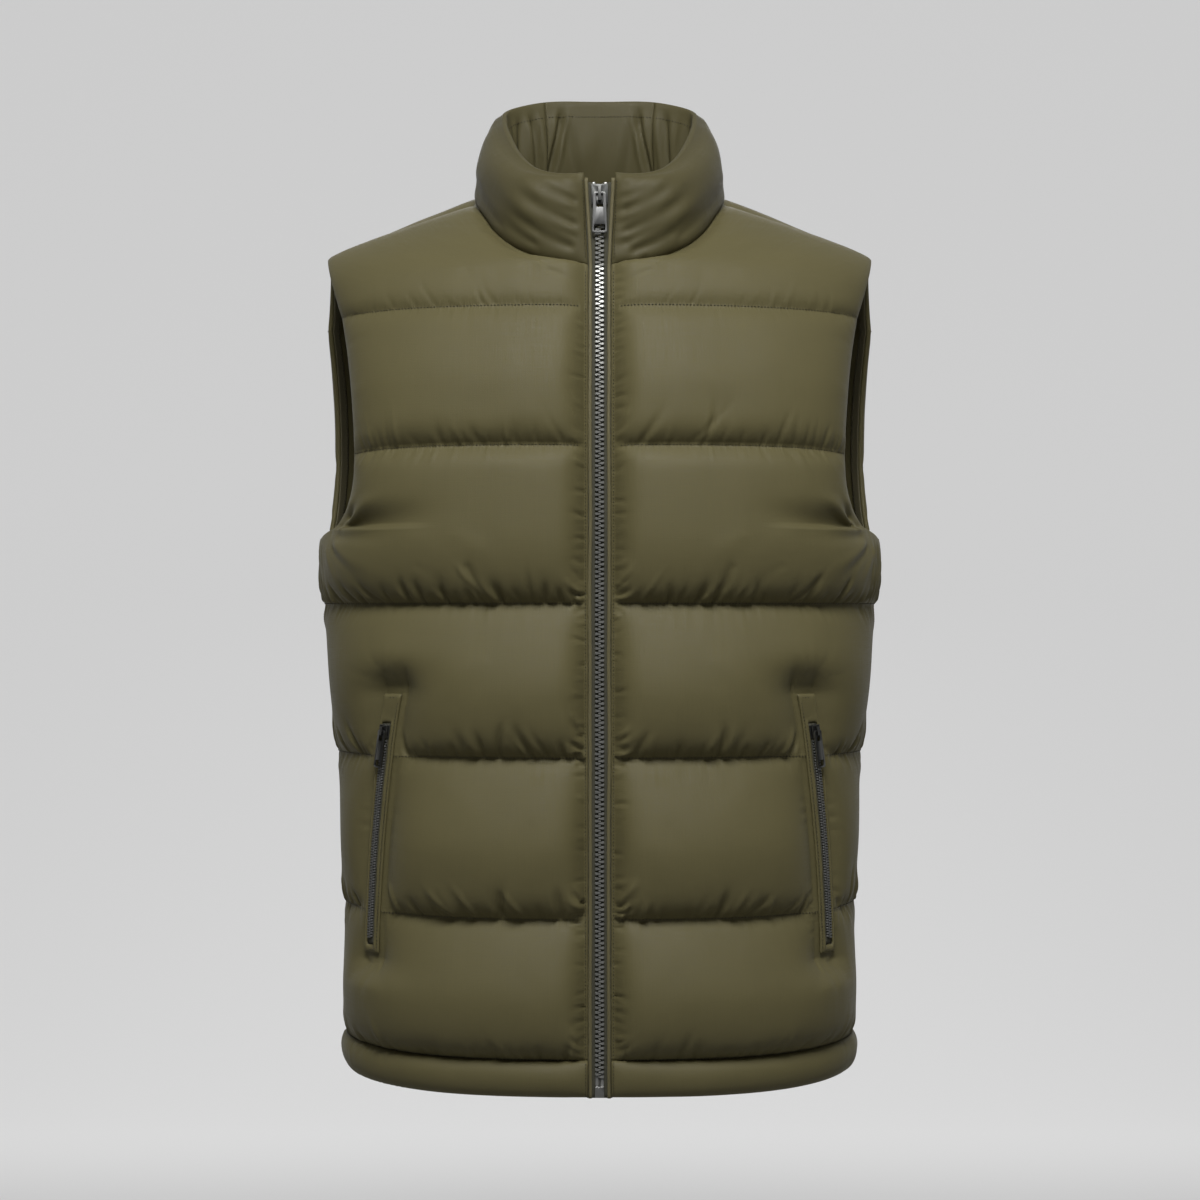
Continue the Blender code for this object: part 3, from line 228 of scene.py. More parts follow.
def front_columns(z, length, slit):
    """Where the fronts' main columns lie, as lengths from the zip edge."""
    before = np.linspace(17.0, slit - 27.0, 5)[1:]
    start = slit + 21.0
    bed = [slit - WELT_INWARD - 0.6, slit + WELT_OUTWARD + 0.6, start]
    if z > ARMHOLE_CORNER_Z:
        after = np.linspace(start, length - FACING_WIDTH, 3)[1:]
        after = np.concatenate([after, [length, length]])
    else:
        after = side_columns(z, start, length, FRONT_UNDERARM_ARC)
    return np.concatenate([[0.0, 3.3, 8.0, 17.0], before, bed, after, [length]])


def back_columns(z, length):
    """Where the half back's main columns lie, as lengths from the centre back."""
    if z > ARMHOLE_CORNER_Z:
        return np.concatenate([np.linspace(0.0, length - FACING_WIDTH, 8), [length] * 3])
    start = (length - BACK_UNDERARM_ARC - FACING_WIDTH) * 5 / 7
    before = np.linspace(0.0, start, 6)
    return np.concatenate([before, side_columns(z, start, length, BACK_UNDERARM_ARC), [length]])


def main_rows_z():
    """The heights of the main level rows, from the hem seam to the yoke seam."""
    heights = [HEM_SEAM_Z]
    for low, high in zip(QUILT_LINES_Z, QUILT_LINES_Z[1:]):
        if low == UNDERARM_ROWS_Z[0]:
            heights += UNDERARM_ROWS_Z[1:]
        else:
            heights += [low + share * (high - low) for share in CHANNEL_ROWS[1:]]
    return np.array(heights)


MAIN_ROWS_Z = main_rows_z()
MAIN_ROWS = np.arange(len(MAIN_ROWS_Z))
UNDERARM_ROW = int(np.argmin(abs(MAIN_ROWS_Z - ARMHOLE_CORNER_Z)))
CHEST_ROW = int(np.argmin(abs(MAIN_ROWS_Z - CHEST_SEAM_Z)))
YOKE_ROW = len(MAIN_ROWS_Z) - 1


def spread(stretches, cell):
    """Places counted in main rows or columns: each stretch is cut into an even number of cells of
    about this size."""
    places = [0.0]
    for k, stretch in enumerate(stretches):
        count = 2 * max(1, round(stretch / cell / 2))
        places += list(k + np.arange(1, count + 1) / count)
    return np.array(places)


def main_columns(z, is_front):
    """A hoop's points, and the lengths along it at which the main columns lie."""
    points, slit = level_row(z, is_front)
    length = lengths(points)[-1]
    return points, front_columns(z, length, slit) if is_front else back_columns(z, length)


def level_places(z, is_front, cols):
    """A hoop's points, and the lengths along it at which the fine columns lie."""
    points, main = main_columns(z, is_front)
    length = lengths(points)[-1]
    places = np.interp(cols, np.arange(len(main)), main)
    return points, np.minimum(places, length - (0 if z > ARMHOLE_CORNER_Z else SEAM_GAP / 2))


def yoke_rows(seam_row, is_front, rows):
    """Rows from the yoke seam over the shoulder to its ridge: a patch between four curves. Each
    column arches up and back as a quarter ellipse, and is moved to meet the neckline."""
    corner = NECK_CORNER_ROW if is_front else BACK_CORNER_ROW
    count = corner + (NECK_ROWS if is_front else BACK_NECK_ROWS)
    neckline = FRONT_NECKLINE if is_front else BACK_NECKLINE
    low = rows[rows <= corner] / corner
    high = (rows[rows > corner] - corner) / (count - corner)
    if is_front:
        first = along(np.array([seam_row[0], neckline[0]]), low)
    else:
        first = along(CENTRE_BACK, low * (len(CENTRE_BACK) - 1))
    edge = np.vstack([first, along(neckline, high * (len(neckline) - 1))])
    walked = lengths(seam_row)
    share = walked / walked[-1]
    half_gap = (-1 if is_front else 1) * SEAM_GAP / 2
    neck, tip = (np.array(p) + [0, half_gap, 0] for p in (NECK_POINT, SHOULDER_TIP))
    edge[-1] = neck
    ridge = neck + share[:, None] * (tip - neck)
    made = []
    for k, place in enumerate(rows):
        angle = math.pi / 2 * place / count
        rise, reach = math.sin(angle), math.cos(angle)
        arch = np.stack([seam_row[:, 0] + (ridge[:, 0] - seam_row[:, 0]) * rise,
                         ridge[:, 1] + (seam_row[:, 1] - ridge[:, 1]) * reach,
                         seam_row[:, 2] + (ridge[:, 2] - seam_row[:, 2]) * rise], axis=1)
        made.append(arch + (1 - share)[:, None] * (edge[k] - arch[0]))
    return np.array(made)


def puff_profile(channel, share):
    """How full the padding is between two seams. Up to where it is fullest it turns out from the
    lower seam as a quarter of an oval, and above that it falls off to the next as 1 - t^1.6."""
    low, high = np.array(SEAM_FILLS)[[channel, channel + 1]]
    under = np.clip(share / PUFF_FULLEST, 0, 1)
    slope = np.clip((share - PUFF_FULLEST) / (1 - PUFF_FULLEST), 0, 1)
    bulging = low + (1 - low) * (1 - (1 - under) ** 2) ** 0.55
    return np.where(share < PUFF_FULLEST, bulging, 1 - (1 - high) * slope ** 1.6)


class Panel:
    """A quilted panel on the wearer's left, as fine grids: rows run up from the hem seam and
    columns run from the zip edge or the centre back to the side. row and col count main rows and
    columns, so they name the same places at any fineness. seams are the rows of the quilting
    seams, and walked and climbed are the distances across and up the lining."""

    def __init__(self, is_front, cell):
        self.is_front = is_front
        main, wide = (main_columns(z, is_front)[1] for z in (-430.3, ARMHOLE_CORNER_Z))
        self.col = spread(np.maximum(np.diff(main), np.diff(wide) * 0.9), cell)
        self.corner_row = YOKE_ROW + (NECK_CORNER_ROW if is_front else BACK_CORNER_ROW)
        self.last_row = self.corner_row + (NECK_ROWS if is_front else BACK_NECK_ROWS)
        level = spread(np.diff(MAIN_ROWS_Z), cell)
        arch = 16.0 if is_front else 20.0        # about one main yoke row's height
        yoke = spread(np.full(self.last_row - YOKE_ROW, arch), cell)
        self.row = np.concatenate([level, YOKE_ROW + yoke[1:]])
        self.arm_row = self.row_index(UNDERARM_ROW)
        self.arm_col = self.col_index(self.col[-1] - SIDE_COLUMNS)
        self.seams = [self.row_index(np.interp(z, MAIN_ROWS_Z, MAIN_ROWS)) for z in QUILT_LINES_Z]
        self.inner = self.lining(level, yoke[1:])
        self.walked = np.array([lengths(row) for row in self.inner])
        self.climbed = np.array([lengths(col) for col in self.inner.transpose(1, 0, 2)]).T
        self.present = self.cloth_points()
        self.normal = self.normals()
        self.outer = self.inner + self.normal * self.thickness()[:, :, None]

    def row_index(self, place):
        return int(np.argmin(abs(self.row - place)))

    def col_index(self, place):
        return int(np.argmin(abs(self.col - place)))

    def lining(self, level, yoke):
        """The lining surface: level hoops, then the yoke. The rows that lead to the armhole's
        corner dip towards the side seam."""
        z = np.interp(level, MAIN_ROWS, MAIN_ROWS_Z)
        rows = (level_places(float(height), self.is_front, self.col) for height in z)
        grid = np.array([read_at(places, lengths(points), points) for points, places in rows])
        dip_from = MAIN_ROWS_Z[UNDERARM_ROW - 1]
        side = np.flatnonzero(self.col > self.col[-1] - SIDE_COLUMNS)
        dip = np.interp(self.col[side] - self.col[-1] + SIDE_COLUMNS, [0, 1, 2], UNDERARM_DIP)
        below = np.flatnonzero(z <= ARMHOLE_CORNER_Z)
        near = np.clip((z[below] - dip_from) / (ARMHOLE_CORNER_Z - dip_from), 0, 1)
        for col, drop in zip(side, dip):
            lowered = z[below] + drop * near
            for k in range(3):
                grid[below, col, k] = np.interp(lowered, z[below], grid[below, col, k])
        arched = yoke_rows(grid[-1, :self.arm_col + 1], self.is_front, yoke)
        beyond = len(self.col) - arched.shape[1]
        arched = np.concatenate([arched, np.repeat(arched[:, -1:], beyond, axis=1)], axis=1)
        return np.concatenate([grid, arched])

    def cloth_points(self):
        """Which points are cloth: all but those beyond the armhole's edge."""
        beyond = self.col > self.col[-1] - SIDE_COLUMNS + 1e-9
        above = self.row > UNDERARM_ROW + 1e-9
        return ~(above[:, None] & beyond[None, :])

    def facing_out(self, grid):
        turned = np.cross(np.gradient(grid, axis=1), np.gradient(grid, axis=0))
        return unit(turned * (1 if self.is_front else -1))

    def normals(self):
        """Unit vectors out of the surface, with no Y part on the side and shoulder seams."""
        start, corner = self.arm_row, self.arm_col
        out = np.zeros_like(self.inner)
        main = self.facing_out(self.inner[:, :corner + 1])
        out[:start + 1] = self.facing_out(self.inner[:start + 1])
        out[start + 1:, :corner + 1] = main[start + 1:]
        near = smoothstep((self.row - (UNDERARM_ROW - 1.0)))[:start + 1, None, None]
        out[:start + 1, :corner + 1] = (out[:start + 1, :corner + 1] * (1 - near / 2)
                                        + main[:start + 1] * near / 2)
        out[start + 1:, corner + 1:] = out[start + 1:, corner:corner + 1]
        out[:start + 1, -1, 1] = 0
        out[-1, :, 1] = 0
        if not self.is_front:
            out[:self.row_index(self.corner_row) + 1, 0, 0] = 0
        return unit(out)

    def channel_places(self):
        """Each row's channel, how far up the channel it lies, and how far over the yoke."""
        z = np.interp(self.row, MAIN_ROWS, MAIN_ROWS_Z)
        lines = np.array(QUILT_LINES_Z)
        channel = np.clip(np.searchsorted(lines, z + 1e-6) - 1, 0, len(lines) - 2)
        share = (z - lines[channel]) / (lines[channel + 1] - lines[channel])
        over = np.clip((self.row - YOKE_ROW) / (self.last_row - YOKE_ROW), 0, 1)
        return channel, share, over

    def fullness(self):
        """How full the padding is at each row, over the channels and the yoke, with the dips that
        the two upper seams' stitches pull into it."""
        channel, share, over = self.channel_places()
        on_yoke = SEAM_FILLS[-1] * (1 - over ** 4) ** 0.5 * (1 - 0.3 * smoothstep(over))
        full = np.where(self.row > YOKE_ROW + 1e-9, on_yoke, puff_profile(channel, share))
        climbed = lengths(self.inner[:, self.col_index(4)])
        for row, dip in ((CHEST_ROW, CHEST_SEAM_DIP), (YOKE_ROW, YOKE_SEAM_DIP)):
            beside = abs(climbed - climbed[self.row_index(row)])
            full = full * (1 - dip * np.exp(-beside / 4.0))
        return full

    def to_armhole(self):
        """Each point's distance to the armhole's edge, from the side seam to the shoulder."""
        grid = self.inner.astype(np.float32)
        edge = np.concatenate([grid[self.arm_row, :self.arm_col:-1],
                               grid[self.arm_row:, self.arm_col]])
        nearest = np.full(grid.shape[:2], 1e9, np.float32)
        for point in edge:
            nearest = np.minimum(nearest, np.linalg.norm(grid - point, axis=-1))
        return nearest

    def thickness(self):
        """The wall's thickness: thin on every seam and edge, full between them."""
        to_side = self.walked[:, -1:] - self.walked
        at_side = 0.04 * (1 - np.exp(-to_side / 4.0)) + 0.96 * smoothstep(to_side / 112.0)
        row_z = np.interp(self.row, MAIN_ROWS, MAIN_ROWS_Z)
        blend = smoothstep((row_z - ARMHOLE_CORNER_Z) / 23.0)[:, None]
        self.from_armhole = self.to_armhole()
        side = (at_side * (1 - blend) + blend) * (1 - np.exp(-self.from_armhole / 18.0))
        full = self.fullness()[:, None] * side
        if not self.is_front:
            at_neck = np.where(self.row > self.corner_row, 0.0, 1.0)[:, None]
            edge = 1 - (1 - at_neck) * np.exp(-self.walked / 14.0)
            return SEAM_THICKNESS + BACK_PUFF * full * edge
        edge = 1 - np.exp(-np.clip(self.walked - 1.8, 0, None) / 9.0)
        z = self.inner[:, :, 2]
        in_pocket = (smoothstep((z - POCKET_BOTTOM_Z + 22.0) / 22.0)
                     * smoothstep((POCKET_TOP_Z + 34.0 - z) / 34.0))
        self.on_welt = (z > POCKET_BOTTOM_Z - 2.0) & (z < POCKET_TOP_Z + 2.0)
        bed = [self.walked[:, self.col_index(c)][:, None] for c in BED_COLUMNS]
        from_bed = np.clip(np.maximum(bed[0] - self.walked, self.walked - bed[1]), 0, None)
        puff = FRONT_PUFF * full * edge * (1 - in_pocket * np.exp(-from_bed / 17.0))
        from_ends = np.clip(np.maximum(POCKET_BOTTOM_Z - z, z - POCKET_TOP_Z), 0, None)
        raised = POCKET_BED * (1 - smoothstep(np.hypot(from_bed, from_ends * 2.0) / 16.0))
        self.in_pocket, self.from_bed, self.from_ends = in_pocket, from_bed, from_ends
        return SEAM_THICKNESS + np.maximum(puff, raised)


# ---- Cloth simulation
BIAS_STIFFNESS = 0.35    # how firmly the cloth keeps its length on the bias; across and up it is 1
MOTION_KEPT = 0.85       # the share of a step's motion that is left in the next
CLOTH_BENDING = 0.05


def pull_together(a, b, cut, give_a, give_b, stiff):
    """One pass over separate pairs of points: each pair moves to its cut distance, as far as the
    two are free to."""
    apart = b - a
    distance = np.sqrt((apart * apart).sum(axis=-1))
    share = stiff * (distance - cut) / (np.maximum(distance, 1e-6) * np.maximum(give_a + give_b, 1))
    a += apart * (share * give_a)[..., None]
    b -= apart * (share * give_b)[..., None]


def laplacian(grid):
    """How far each inner point's four neighbours lie from it on average."""
    bend, inner = np.zeros_like(grid), np.s_[1:-1]
    bend[inner, inner] = (grid[:-2, inner] + grid[2:, inner] + grid[inner, :-2] + grid[inner, 2:]
                          - 4 * grid[inner, inner]) / 4
    return bend


def join_columns(grid, joined):
    """Brings two neighbouring columns of a grid together on the centre plane, in some rows."""
    rows, col = joined
    both = (grid[rows, col - 1] + grid[rows, col]) / 2
    both[:, 0] = 0
    grid[rows, col - 1] = grid[rows, col] = both


def cut_diagonals(form, cut_across, cut_up):
    """The cut lengths of the cells' two diagonals: the form's own, lengthened as much as the
    threads across and up are on average."""
    across, up = (cut / np.maximum(spans(form, axis), 1e-6)
                  for cut, axis in ((cut_across, 1), (cut_up, 0)))
    grown = np.clip((across[1:] + across[:-1] + up[:, 1:] + up[:, :-1]) / 4, 0.9, 1.2)
    rising = np.linalg.norm(form[1:, 1:] - form[:-1, :-1], axis=-1) * grown
    falling = np.linalg.norm(form[1:, :-1] - form[:-1, 1:], axis=-1) * grown
    return rising.astype(np.float32), falling.astype(np.float32)


def settle(start, form, cut_across, cut_up, free, live, out, lining, least, steps, push, bending,
           joined=None):
    """A cloth simulation on a grid of points by position-based dynamics: padding pushes the cloth
    out along the given directions, its threads keep their cut lengths across, up and on the bias,
    it resists bending away from its form, and it never sinks nearer the lining than least.
    Points that aren't free are sewn down, and only live points are cloth."""
    points, form = start.astype(np.float32).copy(), form.astype(np.float32)
    give = (free & live).astype(np.float32)
    rising, falling = cut_diagonals(form, cut_across, cut_up)
    pairs = []
    for k in (0, 1):
        pairs.append((np.s_[:, k:-1:2], np.s_[:, k + 1::2], cut_across[:, k::2], 1.0))
        pairs.append((np.s_[k:-1:2], np.s_[k + 1::2], cut_up[k::2], 1.0))
        pairs.append((np.s_[k:-1:2, :-1], np.s_[k + 1::2, 1:], rising[k::2], BIAS_STIFFNESS))
        pairs.append((np.s_[k:-1:2, 1:], np.s_[k + 1::2, :-1], falling[k::2], BIAS_STIFFNESS))
    passes = []
    for a, b, cut, stiff in pairs:
        both = (live[a] & live[b]).astype(np.float32) * stiff
        passes.append((a, b, cut.astype(np.float32), give[a], give[b], both))
    out, lining, least = (np.asarray(part, np.float32) for part in (out, lining, least))
    before = points.copy()
    for _ in range(steps):
        moving = (points - before) * MOTION_KEPT
        before = points.copy()
        points += (moving + push * out) * give[..., None]
        for a, b, cut, give_a, give_b, stiff in passes:
            pull_together(points[a], points[b], cut, give_a, give_b, stiff)
        points -= laplacian(laplacian(points - form)) * (bending * give)[..., None]
        height = ((points - lining) * out).sum(axis=-1)
        points += out * (np.clip(least - height, 0, None) * give)[..., None]
        if joined:
            join_columns(points, joined)
    return points.astype(float)


# ---- Quilting
# Extra cloth gathered into each quilting seam from the hem seam up, as shares of its length: into
# the channel above it and into the one below it.
EASE_ABOVE = [0.035, 0.045, 0.045, 0.050, 0.035, 0.008]
EASE_BELOW = [0.006, 0.006, 0.006, 0.008, 0.005, 0.003]
EASE_REACH = 9.0         # how far from a seam its gathers are cut
PLACKET_EASE = 0.035     # extra length beside the zip, the pocket and the armhole
PLAIN_EASE = 0.003
PADDING_PUSH = 0.003     # how far the padding pushes the cloth in each step
STREAK_HEIGHT = 0.8      # the first unevenness that gathers grow from
FIELD_BLUR = 6           # cells over which the settled form is held to the padding's
LINING_PUFF = 2.2        # how far the lining swells inwards between seams
LEAST_PADDING = 2.0      # the least room between the settled cloth and the lining
SAG = np.array([0.0, 0.0, -0.1])         # the padding's weight, added to its push

# Main folds, each from one place to another, with its bow, half-width and height. A front's places
# are millimetres from the zip edge and up the lining from the hem seam.
FRONT_FOLDS = [
    # from the armhole's lowest point
    (197, 393, 144, 424, 3, 4.8, 3.4), (188, 405, 158, 432, 3, 4.6, -3.2),
    (199, 388, 126, 398, -4, 6.0, -2.0), (200, 384, 134, 362, -4, 6.0, 1.7),
    (204, 380, 158, 346, 4, 5.0, -1.7), (214, 380, 188, 343, 2, 4.5, 1.5),
    (228, 381, 210, 343, 0, 4.0, -1.5), (242, 382, 230, 344, 2, 3.6, 1.4),
    (252, 383, 246, 345, 1, 3.2, -1.2), (186, 428, 164, 452, 3, 4.0, -1.2),
    # beside the armhole
    (186, 545, 150, 534, 3, 5.0, -1.0), (185, 505, 146, 512, -3, 6.0, 0.9),
    (184, 478, 150, 470, 2, 5.0, -0.9),
    # round the top and the lower end of the pocket
    (154, 290, 166, 326, 3, 4.4, -1.0), (149, 288, 150, 320, -2, 4.4, 0.8),
    (160, 284, 190, 296, 4, 4.6, -0.9), (143, 286, 130, 314, 2, 4.6, 0.8),
    (137, 278, 112, 268, 3, 5.0, -0.8),
    (172, 66, 206, 46, 3, 4.4, -1.0), (166, 64, 176, 28, 2, 4.4, -0.9),
    (160, 64, 136, 44, -3, 4.6, -0.9),
    # on the yoke and under the neckline
    (39, 608, 36, 563, 3, 3.6, 1.0), (31, 588, 5, 573, 2, 3.0, -1.2),
    (45, 604, 66, 575, 3, 5.0, 0.8), (22, 612, 14, 580, 2, 3.2, 0.9),
    (90, 598, 120, 572, 2, 8.0, 0.6),
    # up from the chest channel's lower seam, and from the two below it
    (73, 340, 87, 380, 3, 3.4, -2.2), (66, 341, 80, 374, 3, 3.0, 1.5),
    (62, 341, 71, 366, 2, 3.0, -1.9), (49, 341, 56, 360, 1, 2.6, -1.6),
    (104, 341, 106, 364, 1, 3.0, -1.7), (128, 342, 136, 362, 2, 3.0, -1.4),
    (88, 226, 97, 262, 2, 4.6, -1.5), (80, 226, 88, 256, 2, 4.0, 1.2),
    (116, 227, 124, 250, 1, 3.4, -1.2), (134, 226, 143, 246, 2, 3.0, -1.8),
    (60, 106, 72, 138, 2, 4.2, -1.3), (96, 107, 106, 136, 2, 4.0, 1.2),
    # above the hem
    (118, 2, 150, 16, 2, 3.2, -1.3), (150, 3, 186, 14, -2, 3.4, 1.2),
    (86, 2, 112, 12, 2, 3.0, 0.9),
    # broad and soft ones in the channels
    (48, 520, 92, 500, 5, 9.0, 0.7), (96, 395, 60, 352, 5, 9.0, 0.9),
    (70, 300, 104, 262, -6, 10.0, 0.8), (110, 205, 66, 166, 6, 9.0, 0.8),
    (92, 84, 128, 52, -5, 9.0, 0.8), (40, 180, 66, 140, 4, 8.0, -0.6),
    (52, 66, 26, 34, 4, 8.0, -0.7), (124, 372, 96, 346, 3, 6.0, -1.2),
    (88, 372, 74, 345, 3, 5.0, -1.0),
]
BACK_FOLDS = [
    (206, 396, 140, 414, 4, 6.0, 2.0), (204, 391, 116, 388, -5, 6.5, -2.0),
    (203, 388, 134, 356, -4, 6.0, 1.5), (205, 384, 160, 334, 4, 5.5, -1.4),
    (196, 404, 164, 444, 3, 4.5, -1.1), (186, 530, 150, 518, 3, 5.0, -0.9),
    (60, 505, 106, 482, 5, 9.0, 0.8), (30, 390, 74, 352, -5, 9.0, 0.9),
    (120, 300, 84, 262, 6, 10.0, 0.8), (40, 205, 86, 170, 6, 9.0, -0.7),
    (150, 190, 112, 150, 5, 9.0, 0.8), (60, 84, 22, 50, -5, 9.0, 0.8),
    (140, 80, 168, 44, 4, 8.0, -0.8),
]


def fold_heights(across, up, folds):
    """The height of soft folds on flat cloth. Each is h e^(-(s/w)^2) with s the distance off a bowed
    line, w growing along it, and it rises quickly at its first end and dies away to its other. On
    both sides of it the cloth sinks a little."""
    height = np.zeros_like(across)
    for x0, y0, x1, y1, bow, wide, tall in folds:
        run = np.array([x1 - x0, y1 - y0], float)
        length = np.hypot(*run)
        t = ((across - x0) * run[0] + (up - y0) * run[1]) / length ** 2
        off = ((across - x0) * run[1] - (up - y0) * run[0]) / length
        off = off - bow * 4 * t * (1 - t)
        spread_out = (off / (wide * (0.7 + 0.6 * np.clip(t, 0, 1)))) ** 2
        fade = smoothstep(t / 0.12 + 0.2) * smoothstep((1 - t) / 0.7)
        height += tall * fade * (1 - 0.7 * spread_out) * np.exp(-spread_out)
    return height


def seam_folds(reach, seed, k):
    """The folds that rise from one quilting seam, leaning outwards, and the fainter ones that hang
    below it, at random places up to a length from the zip edge or the centre. Near the side seam
    they turn into close, curved pleats."""
    rng = np.random.default_rng(seed + 101 * k)
    folds = []
    place = rng.uniform(8, 22)
    strength = (0.8, 1.35, 1.25, 1.6, 0.8, 0.35)[k]
    while place < reach - 45:
        length = rng.uniform(8, 20) if rng.random() < 0.6 else rng.uniform(22, 42)
        lean = rng.normal(0.4, 0.25) * length
        wide = rng.uniform(1.8, 2.8) * (1 + length / 90)
        tall = strength * wide * rng.uniform(0.45, 0.85) * rng.choice([-1.0, -1.0, 0.8])
        folds.append((place, -0.5, place + lean, length, rng.uniform(-2, 3), wide, tall))
        place += rng.uniform(6, 21)
    while place < reach:
        length = rng.uniform(18, 52) * (0.4 + 0.6 * strength)
        folds.append((place, -0.5, place + rng.uniform(1, 7), length, rng.uniform(-4, -1),
                      rng.uniform(1.9, 2.8), strength * rng.choice([-1, 1]) * rng.uniform(0.9, 1.8)))
        place += rng.uniform(5, 10)
    place = rng.uniform(10, 40)
    while place < reach:
        outer = smoothstep(place / reach * 1.6 - 0.5)
        length = rng.uniform(8, 20) + 14 * outer
        folds.append((place, 0.0, place + outer * rng.uniform(0.4, 0.9) * length, -length,
                      rng.uniform(-1, 1), rng.uniform(1.8, 2.6),
                      rng.choice([-1, 1]) * (0.16 + 0.8 * outer * strength) * rng.uniform(0.5, 1.2)))
        place += rng.uniform(8, 24) * (1 - 0.5 * outer)
    return folds


def placket_folds(seed):
    """The short puckers that slant up and away from the placket's stitches, and the crumples where
    a quilting seam meets it."""
    rng = np.random.default_rng(seed)
    levels = [0.0] + list(np.cumsum(np.diff(QUILT_LINES_Z)))
    folds = []
    for k, level in enumerate(levels[:-1]):
        deep = (0.6, 1.0, 1.0, 0.8, 0.5)[k]
        for rise, start in zip((1.9, 1.1, 0.6, 0.25), (12.0, 6.0, 3.0, 0.8)):
            run = rng.uniform(11, 19)
            folds.append((2.4, level + start * rng.uniform(0.8, 1.3), 2.4 + run,
                          level + start + run * rise * rng.uniform(0.7, 1.2), rng.uniform(1, 4),
                          rng.uniform(2.0, 3.0), deep * rng.uniform(2.0, 3.4) * rng.choice([-1, 1])))
        folds.append((2.4, level - 4.0, 2.4 + rng.uniform(8, 14), level - rng.uniform(7, 14), -1.0,
                      2.2, -deep * 1.5))
    place = rng.uniform(14, 20)
    while place < levels[-1] - 8:
        length = rng.uniform(6, 15)
        rise = rng.uniform(-0.2, 1.1)
        run = length / math.hypot(1, rise)
        folds.append((1.6, place, 1.6 + run, place + run * rise, rng.uniform(-1, 1),
                      rng.uniform(1.8, 2.4), rng.choice([-1.0, -1.0, 0.7]) * rng.uniform(1.2, 3.0)))
        place += rng.uniform(7, 24)
    return folds


def fold_form(panel, seed):
    """The height of all a panel's folds above its plain padded form."""
    across, climbed = panel.walked, panel.climbed
    height = fold_heights(across, climbed, FRONT_FOLDS if panel.is_front else BACK_FOLDS)
    for k, row in enumerate(panel.seams):
        from_seam = climbed - climbed[row]
        height += fold_heights(across, from_seam, seam_folds(across[row].max() - 8.0, seed, k))
    if panel.is_front:
        height += fold_heights(across, climbed, placket_folds(seed + 9))
        height = height * smoothstep(np.hypot(panel.from_bed, panel.from_ends) / 5.0)
    return height * (1 - np.exp(-panel.from_armhole / 5.0))


def seam_closeness(panel):
    """How near each point is to a quilting seam, above it: 1 on it, falling off exponentially. And
    the same on both sides times that seam's ease."""
    near = ease = np.zeros_like(panel.climbed)
    for k, row in enumerate(panel.seams):
        beyond = panel.climbed - panel.climbed[row]
        close = np.exp(-abs(beyond) / EASE_REACH)
        share = np.where(beyond >= 0, EASE_ABOVE[k], EASE_BELOW[k])
        near = np.maximum(near, close * np.where(beyond >= 0, 1.0, 0.25))
        ease = np.maximum(ease, close * share)
    return near, ease


def edge_closeness(panel):
    """How near each point is to an edge along which the cloth is eased in lengthwise: the placket
    and the pocket's bed."""
    if not panel.is_front:
        return np.zeros_like(panel.walked)
    placket = np.exp(-np.clip(panel.walked - 1.8, 0, None) / 7.0)
    pocket = 0.8 * panel.in_pocket * np.exp(-panel.from_bed / 8.0)
    return np.maximum(placket, pocket)


def sewn_points(panel):
    """Which points are held by stitches: quilting seams, the zip edge, the outer edges and the
    pocket's flat bed."""
    sewn = np.zeros(panel.present.shape, bool)
    sewn[panel.seams + [-1]] = True
    sewn[:, -1] = True
    if panel.is_front:
        sewn[panel.walked <= 1.9] = True
        sewn |= panel.on_welt & (panel.from_bed < 0.3)
    else:
        sewn[panel.row > panel.corner_row - 1e-9, 0] = True
    sewn[panel.arm_row:, panel.arm_col] = True
    sewn[panel.arm_row, panel.arm_col:] = True
    return sewn


def cut_of(panel, form):
    """The lengths that a panel's cloth is cut to, across and up: those of its form, and beside the
    seams as long across as the full padding needs."""
    across = spans(form, 1)
    cut_across = across.copy()
    for low, high in zip(panel.seams, panel.seams[1:]):
        middle = low + (high - low) * 2 // 5
        wide = across[low:high + 1]
        cut_across[low:high + 1] = np.clip(across[middle], wide, wide * 1.006)
    return cut_across, spans(form)


def start_and_cut(panel, seed):
    """The cloth's folded form, its first ripples and its cut lengths. Small uneven streaks beside
    the seams start the gathers, and broad ones keep the channels from being alike."""
    shape = panel.present.shape
    form = panel.outer + panel.normal * (fold_form(panel, seed) * ~sewn_points(panel))[..., None]
    cut_across, cut_up = cut_of(panel, form)
    near, ease = seam_closeness(panel)
    patchy = np.clip(0.75 + 0.6 * soft_noise(shape, 30.0, 10.0, seed), 0.05, 1.9)
    cut_across = cut_across * (1 + (ease * patchy)[:, 1:] + PLAIN_EASE)
    at_edge = edge_closeness(panel)
    edge_patchy = np.clip(0.5 + 0.8 * soft_noise(shape, 9.0, 30.0, seed + 3), 0.0, 1.9)
    cut_up = cut_up * (1 + PLACKET_EASE * (at_edge * edge_patchy)[1:] + PLAIN_EASE)
    streaks = soft_noise(shape, 9.0, 1.6, seed + 1) * near
    bars = soft_noise(shape, 1.8, 6.0, seed + 4) * at_edge * 0.5
    broad = soft_noise(shape, 16.0, 8.0, seed + 2) * 0.5
    ripples = STREAK_HEIGHT * (streaks + bars) + broad
    return form, ripples, cut_across, cut_up


